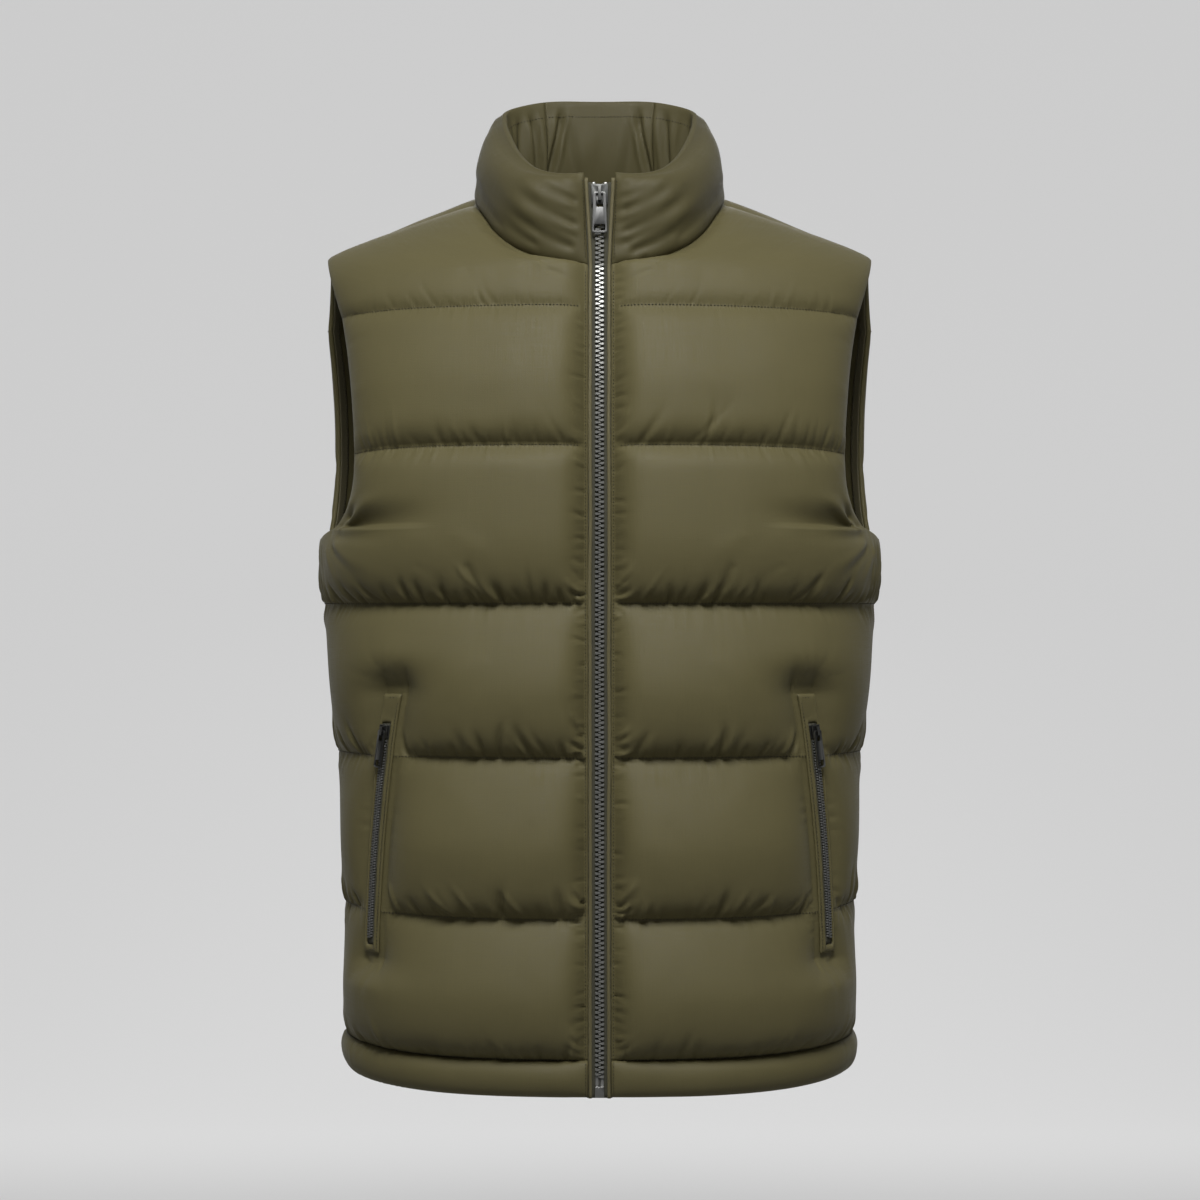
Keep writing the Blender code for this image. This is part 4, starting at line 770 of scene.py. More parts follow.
def hold_form(cloth, form, normal, present, near_seam):
    """The settled cloth with its broad swelling, blurred over a mirrored copy, taken back to the
    form's, so that only gathers and creases are added. Near the stitches it is left alone."""
    moved = np.where(present, ((cloth - form) * normal).sum(axis=-1), 0)
    rows, cols = moved.shape
    wide = np.concatenate([moved, moved[::-1]])
    wide = blurred(np.concatenate([wide, wide[:, ::-1]], axis=1), FIELD_BLUR, FIELD_BLUR)
    return cloth - normal * (wide[:rows, :cols] * (1 - near_seam))[..., None]


def near_stitches(panel):
    """How near each point is to any line of stitches: e^(-s/2.5) at a distance s."""
    beside = [panel.from_armhole] + [abs(panel.climbed - panel.climbed[row])
                                     for row in panel.seams]
    if panel.is_front:
        beside.append(panel.walked)
    return np.exp(-np.min(beside, axis=0) / 2.5)


def quilt(panel, seed):
    """A front's settled outer points."""
    sewn = sewn_points(panel)
    form, ripples, cut_across, cut_up = start_and_cut(panel, seed)
    start = form + panel.normal * (ripples * ~sewn)[..., None]
    cloth = settle(start, form, cut_across, cut_up, ~sewn, panel.present, panel.normal + SAG,
                   panel.inner, LEAST_PADDING, CLOTH_STEPS, PADDING_PUSH, CLOTH_BENDING)
    return hold_form(cloth, form, panel.normal, panel.present, near_stitches(panel))


def quilt_back(panel, seed):
    """The back's settled outer points, as its left and right halves. They settle as one cloth and
    share their centre column below the neck."""
    def both(left, right):
        return np.concatenate([right[:, ::-1], left], axis=1)
    sewn = sewn_points(panel)
    forms, ripples, cut_across, cut_up = zip(*(start_and_cut(panel, s) for s in (seed, seed + 7)))
    middle = np.zeros((len(panel.row), 1))
    across = np.concatenate([cut_across[1][:, ::-1], middle, cut_across[0]], axis=1)
    form = both(forms[0], mirrored(forms[1]))
    normal, inner = (both(part, mirrored(part)) for part in (panel.normal, panel.inner))
    near = near_stitches(panel)
    present, held, near = both(panel.present, panel.present), both(sewn, sewn), both(near, near)
    start = form + normal * (both(*ripples) * ~held)[..., None]
    cols = len(panel.col)
    joined = (np.flatnonzero(panel.row <= panel.corner_row + 1e-9), cols)
    join_columns(form, joined)
    cloth = settle(start, form, across, both(*cut_up), ~held, present, normal + SAG, inner,
                   LEAST_PADDING, CLOTH_STEPS, PADDING_PUSH, CLOTH_BENDING, joined)
    cloth = hold_form(cloth, form, normal, present, near)
    join_columns(cloth, joined)
    return cloth[:, cols:], mirrored(cloth[:, :cols][:, ::-1])


# ---- Meshes
SIDES = {"left": np.array([1, 1, 1]), "right": np.array([-1, 1, 1])}


def mirrored(points):
    return points * SIDES["right"]


def joined_meshes(parts):
    """The points and faces of several meshes as one."""
    points, faces, count = [], [], 0
    for part, its_faces in parts:
        points.append(part)
        faces += [[n + count for n in face] for face in its_faces]
        count += len(part)
    return np.concatenate(points), faces


def add_mesh(name, points, faces, finish, body="vest", cloth_place=None, smooth=True, **masks):
    """A mesh piece from points in millimetres that rides on a body. cloth_place gives each
    point's place on the flat cloth, which becomes the UV map, and masks are point attributes."""
    mesh = bpy.data.meshes.new(name)
    mesh.from_pydata((np.asarray(points) * MM).tolist(), [], faces)
    if smooth:
        mesh.shade_smooth()
    if cloth_place is not None:
        corners = np.zeros(len(mesh.loops), np.int32)
        mesh.loops.foreach_get("vertex_index", corners)
        uv = mesh.uv_layers.new(name="cloth")
        uv.data.foreach_set("uv", (np.asarray(cloth_place)[corners] * MM).astype(np.float32).ravel())
    for label, values in masks.items():
        mesh.attributes.new(label, "FLOAT", "POINT").data.foreach_set(
            "value", np.asarray(values, np.float32).ravel())
    mesh.materials.append(finish)
    piece = bpy.data.objects.new(name, mesh)
    bpy.context.scene.collection.objects.link(piece)
    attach(piece, body)
    return piece


def corners_of(grid):
    """The four corners of each cell of a grid, in turn."""
    return np.stack([grid[:-1, :-1], grid[:-1, 1:], grid[1:, 1:], grid[1:, :-1]], axis=-1)


def grid_quads(numbers, live=None):
    """The faces between neighbouring points of a grid of point numbers."""
    quads = corners_of(numbers)
    return quads.reshape(-1, 4) if live is None else quads[corners_of(live).all(axis=-1)]


def rim_path(panel):
    """Row and column numbers once round a panel's edge, from the top of its front or back edge.
    The half back has no edge along the centre, where its other half joins it."""
    rows, cols = panel.present.shape
    arm, corner = panel.arm_row, panel.arm_col
    neck = 0 if panel.is_front else panel.row_index(panel.corner_row)
    path = [(i, 0) for i in range(neck, rows)]
    path += [(rows - 1, j) for j in range(1, corner + 1)]
    path += [(i, corner) for i in range(rows - 2, arm - 1, -1)]
    path += [(arm, j) for j in range(corner + 1, cols)]
    path += [(i, cols - 1) for i in range(arm - 1, -1, -1)]
    path += [(0, j) for j in range(cols - 2, -1, -1)]
    return np.array(path)


def wall_faces(panel):
    """The faces of a panel's wall: a fine outer side, a lining with half as many points each way,
    and between their edges three triangles to each pair of outer edges."""
    rows, cols = panel.present.shape
    outer = np.arange(rows * cols).reshape(rows, cols)
    half = rows // 2 + 1, cols // 2 + 1
    inner = rows * cols + np.arange(half[0] * half[1]).reshape(half)
    faces = grid_quads(outer, panel.present).tolist()
    faces += grid_quads(inner, panel.present[::2, ::2])[:, ::-1].tolist()
    path = rim_path(panel)
    a, b, c = (path[k:len(path) - 2 + k:2] for k in (0, 1, 2))
    fine = [outer[p[:, 0], p[:, 1]] for p in (a, b, c)]
    coarse = [inner[p[:, 0] // 2, p[:, 1] // 2] for p in (a, c)]
    for corners in ((fine[0], fine[1], coarse[0]), (fine[1], coarse[1], coarse[0]),
                    (fine[1], fine[2], coarse[1])):
        faces += np.stack(corners, axis=-1).tolist()
    return faces


def lining_points(panel, seed):
    """The lining at every second point: it swells a little inwards between seams, with soft
    gathers, and lies flat beside the armhole, where the facing covers it."""
    share, over = panel.channel_places()[1:]
    between = np.where(panel.row > YOKE_ROW, over, share)
    swell = (1 - abs(2 * between - 1) ** 2.4)[:, None]
    swell = swell * smoothstep((panel.from_armhole - 13.0) / 25.0)
    swell = swell * smoothstep(panel.walked / 30.0) if panel.is_front else swell
    swell = swell * smoothstep((panel.last_row - panel.row) / 2.0)[:, None]
    creases = (soft_noise(swell.shape, 14.0, 3.0, seed) * 0.35
               + soft_noise(swell.shape, 20.0, 12.0, seed + 1) * 0.4)
    depth = LINING_PUFF * swell * (1 + creases * smoothstep(panel.walked / 20.0))
    return (panel.inner - panel.normal * depth[..., None])[::2, ::2]


def cloth_places(panel):
    """Each point's place on the flat cloth, outer points first and then the lining's."""
    climbed = panel.climbed[:, panel.col_index(5), None]
    place = np.stack([panel.walked, np.broadcast_to(climbed, panel.walked.shape)], -1)
    return np.concatenate([place.reshape(-1, 2), place[::2, ::2].reshape(-1, 2)])


def pucker_masks(panel):
    """How strongly each point's cloth is ruffled by the quilting stitches on both sides of them,
    and by the placket's and the pocket's stitches. The lining has neither."""
    bare = np.zeros(panel.present[::2, ::2].size)
    gathers = sum(np.exp(-abs(panel.climbed - panel.climbed[row]) / 2.6) for row in panel.seams)
    return {"gathers": np.concatenate([gathers.ravel(), bare]),
            "puckers": np.concatenate([edge_closeness(panel).ravel(), bare])}


def outward(piece):
    """Merges a piece's doubled points and turns its faces outwards, which its one closed wall
    makes plain."""
    work = bmesh.new()
    work.from_mesh(piece.data)
    loose = [v for v in work.verts if not v.link_faces]
    bmesh.ops.delete(work, geom=loose, context="VERTS")
    bmesh.ops.remove_doubles(work, verts=work.verts, dist=0.02 * MM)
    bmesh.ops.recalc_face_normals(work, faces=work.faces)
    if work.calc_volume(signed=True) < 0:
        bmesh.ops.reverse_faces(work, faces=work.faces)
    work.to_mesh(piece.data)
    work.free()
    return piece


def in_place_of(node_name, piece):
    """Hides a node's solid, whose place the piece takes, and returns the piece."""
    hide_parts(node_name)
    return piece


def padded_shell(node_name, piece):
    in_place_of(node_name, piece)


def wall_points(panel, outer, seed):
    """A panel's settled outer points and then its lining's."""
    return np.concatenate([outer.reshape(-1, 3), lining_points(panel, seed).reshape(-1, 3)])


def make_front(side, panel, outer, finish):
    """One quilted front from its settled points."""
    piece = add_mesh(f"quilted_front_{side}", wall_points(panel, outer, 31) * SIDES[side],
                     wall_faces(panel), finish, cloth_place=cloth_places(panel),
                     **pucker_masks(panel))
    padded_shell(f"front_{side}", outward(piece))


def make_back(panel, outers, finish):
    """The quilted back from its two settled halves, left then right."""
    places, faces = cloth_places(panel), wall_faces(panel)
    halves = [wall_points(panel, outer, 47 + k) * turn
              for k, (outer, turn) in enumerate(zip(outers, SIDES.values()))]
    points, both = joined_meshes([(half, faces) for half in halves])
    piece = add_mesh("quilted_back", points, both, finish,
                     cloth_place=np.concatenate([places, places * [-1, 1]]),
                     **{label: np.tile(values, 2) for label, values in pucker_masks(panel).items()})
    padded_shell("back", outward(piece))


# ---- Collar
RIM_COLUMNS = ("around", "x", "y", "z", "bulge")
COLLAR_RIM = [
    (0.00, 12.0, -97.0, 6.5, 1.0),
    (0.15, 24.0, -95.5, 6.0, 8.0),
    (0.40, 38.0, -89.5, 8.0, 14.0),
    (0.62, 50.0, -77.0, 14.0, 14.5),
    (0.85, 62.0, -52.0, 28.0, 14.0),
    (1.05, 70.5, -20.0, 46.0, 12.5),
    (1.30, 75.0, 12.0, 63.0, 11.0),
    (1.52, 72.0, 37.0, 75.5, 11.0),
    (1.72, 45.0, 54.0, 84.5, 11.0),
    (2.00, 0.0, 60.0, 86.0, 12.0),
]
COLLAR_LEVELS = 34
COLLAR_RIM_RINGS = 6
COLLAR_SEAM_AROUND = 1.72
COLLAR_HALF_GAP = 0.0003
COLLAR_RIM_THICKNESS = 5.0
COLLAR_INNER_BULGE = 4.0
# Drag folds on the collar's outer side, which rise from the zip: place around and level where each
# starts, its rise in level for each unit around, its length around, half-width and depth.
COLLAR_FOLDS = {
    "left": [(0.04, 0.84, 0.30, 0.22, 0.038, 1.4), (0.04, 0.70, 0.45, 0.38, 0.040, 2.1),
             (0.04, 0.56, 0.52, 0.66, 0.049, 2.9), (0.04, 0.43, 0.58, 0.40, 0.038, 2.0),
             (0.05, 0.32, 0.60, 0.80, 0.052, 3.1), (0.04, 0.20, 0.50, 0.46, 0.040, 2.2),
             (0.10, 0.10, 0.50, 0.90, 0.049, 2.9), (0.42, 0.16, 0.42, 0.62, 0.052, 2.4),
             (0.66, 0.18, 0.36, 0.60, 0.058, 2.0), (0.95, 0.55, 0.05, 0.50, 0.067, 1.4)],
    "right": [(0.04, 0.80, 0.42, 0.20, 0.038, 1.2), (0.04, 0.66, 0.48, 0.52, 0.045, 2.5),
              (0.05, 0.52, 0.56, 0.36, 0.038, 1.9), (0.04, 0.40, 0.60, 0.74, 0.052, 3.1),
              (0.04, 0.26, 0.52, 0.42, 0.040, 2.1), (0.06, 0.15, 0.52, 0.86, 0.052, 3.0),
              (0.30, 0.12, 0.46, 0.50, 0.047, 2.2), (0.55, 0.14, 0.40, 0.66, 0.056, 2.1),
              (0.80, 0.34, 0.10, 0.50, 0.067, 1.5)],
}
# Upright creases inside the collar: place around, half-width around, depth and lean.
COLLAR_CREASES = {
    "left": [(1.64, 0.020, 2.6, 0.05), (1.50, 0.030, 2.2, -0.08), (1.30, 0.030, 2.4, 0.06),
             (1.05, 0.035, 1.8, -0.05), (0.72, 0.030, 1.6, 0.10), (0.45, 0.025, 1.2, 0.05)],
    "right": [(1.66, 0.018, 2.9, -0.04), (1.55, 0.025, 1.8, 0.07), (1.38, 0.028, 2.3, 0.05),
              (1.18, 0.030, 2.0, 0.10), (0.85, 0.032, 1.7, -0.06), (0.50, 0.025, 1.2, -0.04)],
    "back": [(1.77, 0.016, 2.2, 0.10), (1.84, 0.030, 0.8, -0.10)],
}


def neckline_edge(front, back):
    """The panels' neckline from the centre front round to the centre back: each point's place
    around the collar, the outer and the inner edge, and the direction away from the panels."""
    sides = []
    for panel, count in ((front, NECK_ROWS), (back, BACK_NECK_ROWS)):
        first = panel.row_index(panel.corner_row)
        share = (panel.row[first:] - panel.corner_row) / count
        outer, inner = panel.outer[first:, 0], panel.inner[first:, 0]
        away = unit(np.cross(panel.normal[first:, 0], unit(np.gradient(inner, axis=0))))
        inward = panel.inner[first:, panel.col_index(1)] - inner
        away *= -np.sign((away * inward).sum(axis=1))[:, None]
        away[0, 0] = 0
        away = unit(np.stack([np.convolve(np.pad(away[:, k], 4, "edge"), np.ones(9) / 9, "valid")
                              for k in range(3)], axis=1))
        sides.append((share if panel.is_front else 2 - share, outer, inner, away))
    (fp, fo, fi, fa), (bp, bo, bi, ba) = sides
    places = np.concatenate([fp, bp[-2::-1]])
    outer = np.concatenate([fo[:-1], [(fo[-1] + bo[-1]) / 2], bo[-2::-1]])
    inner = np.concatenate([fi[:-1], [(fi[-1] + bi[-1]) / 2], bi[-2::-1]])
    away = np.concatenate([fa[:-1], [fa[-1] + ba[-1]], ba[-2::-1]])
    return places, outer, inner, unit(away)


def collar_sides(around, levels, neckline, side):
    """The collar's outer and inner sides as grids of levels by places around, with the directions
    out of it. Between the seam and the rim the outer side swells by level (1 - level)^0.35,
    and the folds are Gaussian troughs along slanting lines."""
    places, outer, inner, away = neckline
    low_out, low_in, step = (read_at(around, places, part) for part in (outer, inner, away))
    low_out, low_in = low_out + step * SEAM_GAP, low_in + step * SEAM_GAP
    rim = np.stack([column(COLLAR_RIM, RIM_COLUMNS, k, around) for k in "xyz"], axis=1)
    bulge = column(COLLAR_RIM, RIM_COLUMNS, "bulge", around)
    out = unit((rim - [0.0, -18.0, 0.0]) * [1, 1, 0])
    turn = smoothstep(around / 0.3)[:, None]
    out = unit(out * turn + np.array([0, -1.0, 0]) * (1 - turn))
    rim_out = rim + out * COLLAR_RIM_THICKNESS / 2
    rim_in = rim - out * COLLAR_RIM_THICKNESS / 2
    level = levels[:, None]
    swell = level * (1 - level) ** 0.35 / 0.462
    dip = np.zeros((len(levels), len(around)))
    for start, height, rise, reach, wide, depth in COLLAR_FOLDS.get(side, ()):
        from_start = around - start
        line = height + rise * from_start
        spread_out = wide * (1 + 1.2 * np.clip(from_start / reach, 0, 1))
        fade = smoothstep(from_start / 0.06) * (1 - smoothstep((from_start - 0.4 * reach)
                                                              / (0.6 * reach)))
        away_from = (level - line) / spread_out
        dip += depth * fade * (np.exp(-away_from ** 2)
                               - 0.45 * np.exp(-(away_from - 1.9) ** 2))
    crease = np.zeros_like(dip)
    for middle, wide, depth, lean in COLLAR_CREASES.get(side, ()):
        away_from = (around - middle - lean * (level - 0.5)) / wide
        fade = smoothstep(level / 0.12) * smoothstep((0.97 - level) / 0.25)
        crease += 1.6 * depth * fade * (np.exp(-away_from ** 2)
                                        - 0.5 * np.exp(-(abs(away_from) - 2) ** 2))
    full = (bulge * swell - dip * np.clip(swell * 3, 0, 1))[..., None]
    outside = low_out + (rim_out - low_out) * level[..., None] + out * full
    puff = COLLAR_INNER_BULGE * np.sin(math.pi * level) * np.minimum(1, bulge / 12) - crease
    inside = low_in + (rim_in - low_in) * level[..., None] - out * puff[..., None]
    return outside, inside, rim, out


def framed(grid, out):
    """For a strip of cloth that is sewn down all round: which points are sewn, and the directions
    out of it."""
    sewn = np.ones(grid.shape[:2], bool)
    sewn[1:-1, 1:-1] = False
    normal = np.cross(np.gradient(grid, axis=1), np.gradient(grid, axis=0))
    return sewn, unit(normal * np.sign((normal * out).sum(axis=-1, keepdims=True) + 1e-9))


def settle_strip(start, grid, across, up, sewn, out, lining, least):
    return settle(start, grid, across, up, ~sewn, np.ones(sewn.shape, bool), out, lining, least,
                  CLOTH_STEPS // 2, 0.004, CLOTH_BENDING)


def collar_tube(side, around, neckline, seed):
    """One collar piece as rings of points round its cross-section: up its outer side, over the rim
    and down its inner side. The outer side is settled as cloth that is eased into the seam, the
    topstitching and the placket."""
    levels = np.linspace(0, 1, COLLAR_LEVELS) ** 1.1
    outside, inside, rim, out = collar_sides(around, levels, neckline, side)
    across, up = spans(outside, 1), spans(outside)
    patchy = np.clip(0.6 + 0.5 * soft_noise(outside.shape[:2], 12.0, 5.0, seed), 0, 1.6)
    seam = np.exp(-levels / 0.10)[:, None] + 0.6 * np.exp(-(1 - levels) / 0.08)[:, None]
    across *= 1 + (0.045 * seam * patchy)[:, 1:]
    walked = lengths(outside[0])
    at_zip = np.exp(-walked / 9.0) if side != "back" else 0 * walked
    up *= 1 + (0.09 * at_zip * patchy)[1:]
    sewn, normal = framed(outside, out)
    if side != "back":
        sewn[:, walked <= 1.3] = True
    ripple = (soft_noise(sewn.shape, 5.0, 1.7, seed + 1) * seam * 0.5
              + soft_noise(sewn.shape, 4.0, 8.0, seed + 2) * 0.35)
    start = outside + normal * (ripple * ~sewn)[..., None]
    outside = settle_strip(start, outside, across, up, sewn, normal, inside, 2.5)
    turn = np.linspace(0, math.pi, COLLAR_RIM_RINGS + 2)[1:-1]
    rounded = [rim + out * COLLAR_RIM_THICKNESS / 2 * math.cos(t) + [0, 0, 1.4 * math.sin(t)]
               for t in turn]
    inner_rows = np.linspace(0, 1, COLLAR_LEVELS * 2 // 3) ** 1.1
    inner_grid = collar_sides(around, inner_rows, neckline, side)[1]
    fine = soft_noise(inner_grid.shape[:2], 4.0, 3.0, seed + 3) * 0.35
    fade = np.sin(math.pi * inner_rows)[:, None]
    inner_grid = inner_grid + out * (fine * fade)[..., None]
    rings = np.concatenate([outside, rounded, inner_grid[::-1]])
    return rings.transpose(1, 0, 2)


def tube_faces(count, sides):
    """The faces of a tube through rings of points, without its ends."""
    i, k = np.meshgrid(np.arange(count - 1), np.arange(sides), indexing="ij")
    after = (k + 1) % sides
    return np.stack([i * sides + k, i * sides + after, (i + 1) * sides + after,
                     (i + 1) * sides + k], axis=-1).reshape(-1, 4).tolist()


def beads(rings, sides, copies):
    """The faces of many alike short tubes, each of a few rings and closed by flat ends."""
    ends = [list(range(sides))[::-1], [(rings - 1) * sides + k for k in range(sides)]]
    one = tube_faces(rings, sides) + ends
    return [[n + k * rings * sides for n in face] for k in range(copies) for face in one]


def end_faces(ring, base, folded):
    """A tube's end: quads and triangles between the two sides of its ring of points, which runs
    out along one side and back along the other."""
    low, high, faces = 0, ring - 1, []
    while high - low > 1:
        faces.append([base + low, base + low + 1, base + high - 1, base + high]
                     if high - low > 2 else [base + low, base + low + 1, base + high])
        low, high = low + 1, high - 1
    return [f if folded else f[::-1] for f in faces]


def tube_piece(name, rings, finish, closed=False, body="vest"):
    """A tube through rings of points, with its place along and round the rings as its UV map."""
    rings = np.asarray(rings, float)
    count, sides = rings.shape[:2]
    faces = tube_faces(count, sides)
    if closed:
        k = np.arange(sides)
        after = (k + 1) % sides
        last = (count - 1) * sides
        faces += np.stack([last + k, last + after, after, k], axis=-1).tolist()
    else:
        faces += end_faces(sides, 0, True) + end_faces(sides, (count - 1) * sides, False)
    walked = np.concatenate([[0], np.cumsum(spans(rings).mean(axis=1))])
    round_it = np.array([lengths(ring) for ring in rings])
    place = np.stack([np.broadcast_to(walked[:, None], round_it.shape), round_it], axis=-1)
    piece = add_mesh(name, rings.reshape(-1, 3), faces, finish, body, place.reshape(-1, 2))
    return outward(piece)


def make_collar(front, back, finish):
    """The collar's two side pieces and its back piece. Returns their rings, for the stitching."""
    neckline = neckline_edge(front, back)
    count = 118
    side_places = np.linspace(0, COLLAR_SEAM_AROUND - COLLAR_HALF_GAP, count)
    side_places = side_places - 0.05 * np.sin(side_places * math.pi / side_places[-1]) ** 2
    made = {side: collar_tube(side, side_places, neckline, seed) * SIDES[side]
            for side, seed in (("left", 61), ("right", 71))}
    half = np.linspace(COLLAR_SEAM_AROUND + COLLAR_HALF_GAP, 2, 26)
    rings, other = (collar_tube("back", half, neckline, seed) for seed in (81, 91))
    middle = (rings[-1] + mirrored(other[-1])) / 2
    middle[:, 0] = 0
    made["back"] = np.concatenate([rings[:-1], middle[None], mirrored(other[-2::-1])])
    for side, rings in made.items():
        padded_shell(f"collar_{side}", tube_piece(f"collar_{side}_cloth", rings, finish))
    return made


# ---- Hem band
# The band's cross-section: out from the lining, down from the seam, and further out where padded.
HEM_PROFILE = [(3.0, 0.0, 0.0), (4.8, 2.0, 2.6), (5.2, 8.5, 4.6), (5.2, 15.5, 5.0),
               (4.8, 22.0, 4.2), (3.6, 26.6, 2.4), (1.2, 28.0, 0.6)]


def section_points(panel, z):
    """The lining surface below each column of the hem seam, at another height."""
    points = level_row(z, panel.is_front)[0]
    walked = lengths(points)
    seam = lengths(panel.inner[0])
    at = np.minimum(seam / seam[-1] * walked[-1], walked[-1] - SEAM_GAP / 2)
    found = read_at(at, walked, points)
    found[0, 0] = panel.inner[0, 0, 0]
    return found


def hem_rings(panel, seed):
    """Rings of the band under a panel, one at each second column of its hem seam. Its outer side
    is settled as cloth that is eased into the seam and the band's lower edge."""
    walked = lengths(panel.inner[0])
    full = 0.35 + 0.65 * smoothstep((walked[-1] - walked) / 90.0)
    if panel.is_front:
        full = full * (0.25 + 0.75 * smoothstep(walked / 20.0))
    out = unit(panel.normal[0] * [1, 1, 0])
    rows = 22
    profile = along(HEM_PROFILE, np.linspace(0, len(HEM_PROFILE) - 1, rows))
    creases = soft_noise((rows, len(walked)), 6.0, 9.0, seed) * 0.5
    slant = np.sin(walked[None, :] / 17.0 + np.linspace(0, 2.2, rows)[:, None]
                   + 2.0 * np.sin(walked[None, :] / 61.0 + seed))
    hold = np.sin(math.pi * np.linspace(0, 1, rows))[:, None]
    grid = []
    for k, (outward_by, down, puffed) in enumerate(profile):
        base = section_points(panel, HEM_SEAM_Z - SEAM_GAP - down)
        grid.append(base + out * (outward_by + puffed * full
                                  + hold[k] * (creases[k] + 0.3 * slant[k]))[:, None])
    grid = np.array(grid)
    lining_z = HEM_SEAM_Z - SEAM_GAP - np.linspace(25.5, 0.0, max(4, rows // 3))
    inside = np.array([section_points(panel, z) for z in lining_z])
    across = spans(grid, 1)
    patchy = np.clip(0.5 + 0.6 * soft_noise(across.shape, 8.0, 14.0, seed + 1), 0, 1.6)
    at_seam = np.exp(-np.arange(rows) * HEM_PROFILE[-1][1] / rows / 5.0)[:, None]
    across = across * (1 + (0.09 * at_seam + 0.06 * at_seam[::-1]) * patchy)
    sewn, normal = framed(grid, out)
    start = grid + normal * (soft_noise(sewn.shape, 4.0, 1.8, seed + 2) * 0.7
                             * (at_seam + at_seam[::-1]) * ~sewn)[..., None]
    settled = settle_strip(start, grid, across, spans(grid), sewn, normal, grid - out * 4.0, 1.0)
    return np.concatenate([settled, inside]).transpose(1, 0, 2)


def make_hem(front, back, finish):
    """The hem band's three pieces. Returns their rings, for the stitching."""
    made = {"front_left": hem_rings(front, 101), "front_right": mirrored(hem_rings(front, 111))}
    left, right = hem_rings(back, 121), mirrored(hem_rings(back, 131))
    middle = (left[0] + right[0]) / 2
    middle[:, 0] = 0
    made["back"] = np.concatenate([right[:0:-1], middle[None], left[1:]])
    for side, rings in made.items():
        padded_shell(f"hem_{side}", tube_piece(f"hem_{side}_cloth", rings, finish))
    return made


# ---- Armhole facing
FACING_NEAR, FACING_FAR = 1.4, 2.3
FACING_DROP = 0.4


def at_places(panel, layer, row, col):
    """Points of a layer at places counted in main rows and columns, between its grid points."""
    grid = getattr(panel, layer)
    i = np.interp(row, panel.row, np.arange(len(panel.row)))
    j = np.interp(col, panel.col, np.arange(len(panel.col)))
    i0 = np.minimum(i.astype(int), grid.shape[0] - 2)
    j0 = np.minimum(j.astype(int), grid.shape[1] - 2)
    v, u = (i - i0)[:, None], (j - j0)[:, None]
    return ((grid[i0, j0] * (1 - u) + grid[i0, j0 + 1] * u) * (1 - v)
            + (grid[i0 + 1, j0] * (1 - u) + grid[i0 + 1, j0 + 1] * u) * v)


def facing_stations(panel):
    """Places on the armhole's edge and across the facing from it, from the side seam up to the
    shoulder: rows of edge row, edge column, inner row and inner column."""
    start, top = UNDERARM_ROW, panel.last_row
    last = panel.col[-1]
    corner = last - SIDE_COLUMNS
    stops = [(start, col, start - FACING_DROP, col) for col in np.arange(last, corner + 0.1, -0.5)]
    stops += [(start, corner, start - FACING_DROP * 0.75, corner - 0.55),
              (start + 0.4, corner, start, corner - 0.9),
              (start + 0.75, corner, start + 0.5, corner - 1)]
    stops += [(row, corner, row, corner - 1) for row in range(start + 1, top + 1)]
    fine = 7
    return through(np.arange(len(stops)), stops, np.arange(0, len(stops) - 1 + 1e-9, 1 / fine))


def make_facings(front, back, finish):
    """A thin band inside each armhole, all the way round, with a slight ripple. Returns the line
    of its stitching."""
    rings, seam = [], []
    for panel in (front, back):
        row, col, inner_row, inner_col = facing_stations(panel).T
        row = np.clip(row, UNDERARM_ROW, None)
        ripple = 0.22 * soft_noise((len(row), 1), 6.0, 0.0, 140 + panel.is_front)[:, :1]
        near_side, far_side = [], []
        for share in (0.0, 0.12, 0.5, 0.82, 0.9, 1.0):
            places = (row + (inner_row - row) * share, col + (inner_col - col) * share)
            point = at_places(panel, "inner", *places)
            out = unit(at_places(panel, "normal", *places))
            lift = ripple * math.sin(math.pi * share) - 0.25 * (share in (0.0, 1.0))
            near_side.append(point - out * FACING_NEAR)
            far_side.append(point - out * (FACING_FAR + lift))
            if share == 0.82:
                seam.append(point - out * (FACING_FAR + lift + 0.1))
        part = np.array(near_side + far_side[::-1]).transpose(1, 0, 2)
        rings.append(part if panel.is_front else part[::-1])
    seam[1] = seam[1][::-1]
    whole = np.concatenate(rings)
    for side, turn in SIDES.items():
        piece = in_place_of(f"armhole_facing_{side}", tube_piece(
            f"facing_{side}_band", whole * turn, finish, closed=True))
    return np.concatenate(seam)


# ---- Centre-front zip
LIP_INNER_X, LIP_OUTER_X = 5.6, 8.4
LIP_FLARE = 3.2
LIP_BACK, LIP_FRONT = 1.6, 3.9
TAPE_INNER_X = 0.7
TAPE_BACK, TAPE_FRONT = 0.4, 1.2
TEETH_TOP_Z, TEETH_BOTTOM_Z = -17.0, -669.0
ZIP_TOP_Z = 4.0
WELT_WIDTH = 9.2
TOOTH_PITCH = 3.56
POCKET_TOOTH_PITCH = 2.1


def zip_line(front):
    """Heights and depths of the lining at the centre front, from the hem to the collar's rim."""
    first = front.row_index(front.corner_row)
    edge = front.inner[:first + 1, 0]
    hem = [section_points(front, z)[0] for z in (HEM_BOTTOM_Z, HEM_SEAM_Z - 12)]
    rim = np.array([0.0, COLLAR_RIM[0][2], COLLAR_RIM[0][3]])
    collar = [edge[-1] + (rim - edge[-1]) * share for share in (0.25, 0.5, 0.75, 1.0)]
    points = np.array(hem + list(edge[::4]) + [edge[-1]] + collar)
    z, keep = np.unique(points[:, 2], return_index=True)
    return z, points[keep, 1]


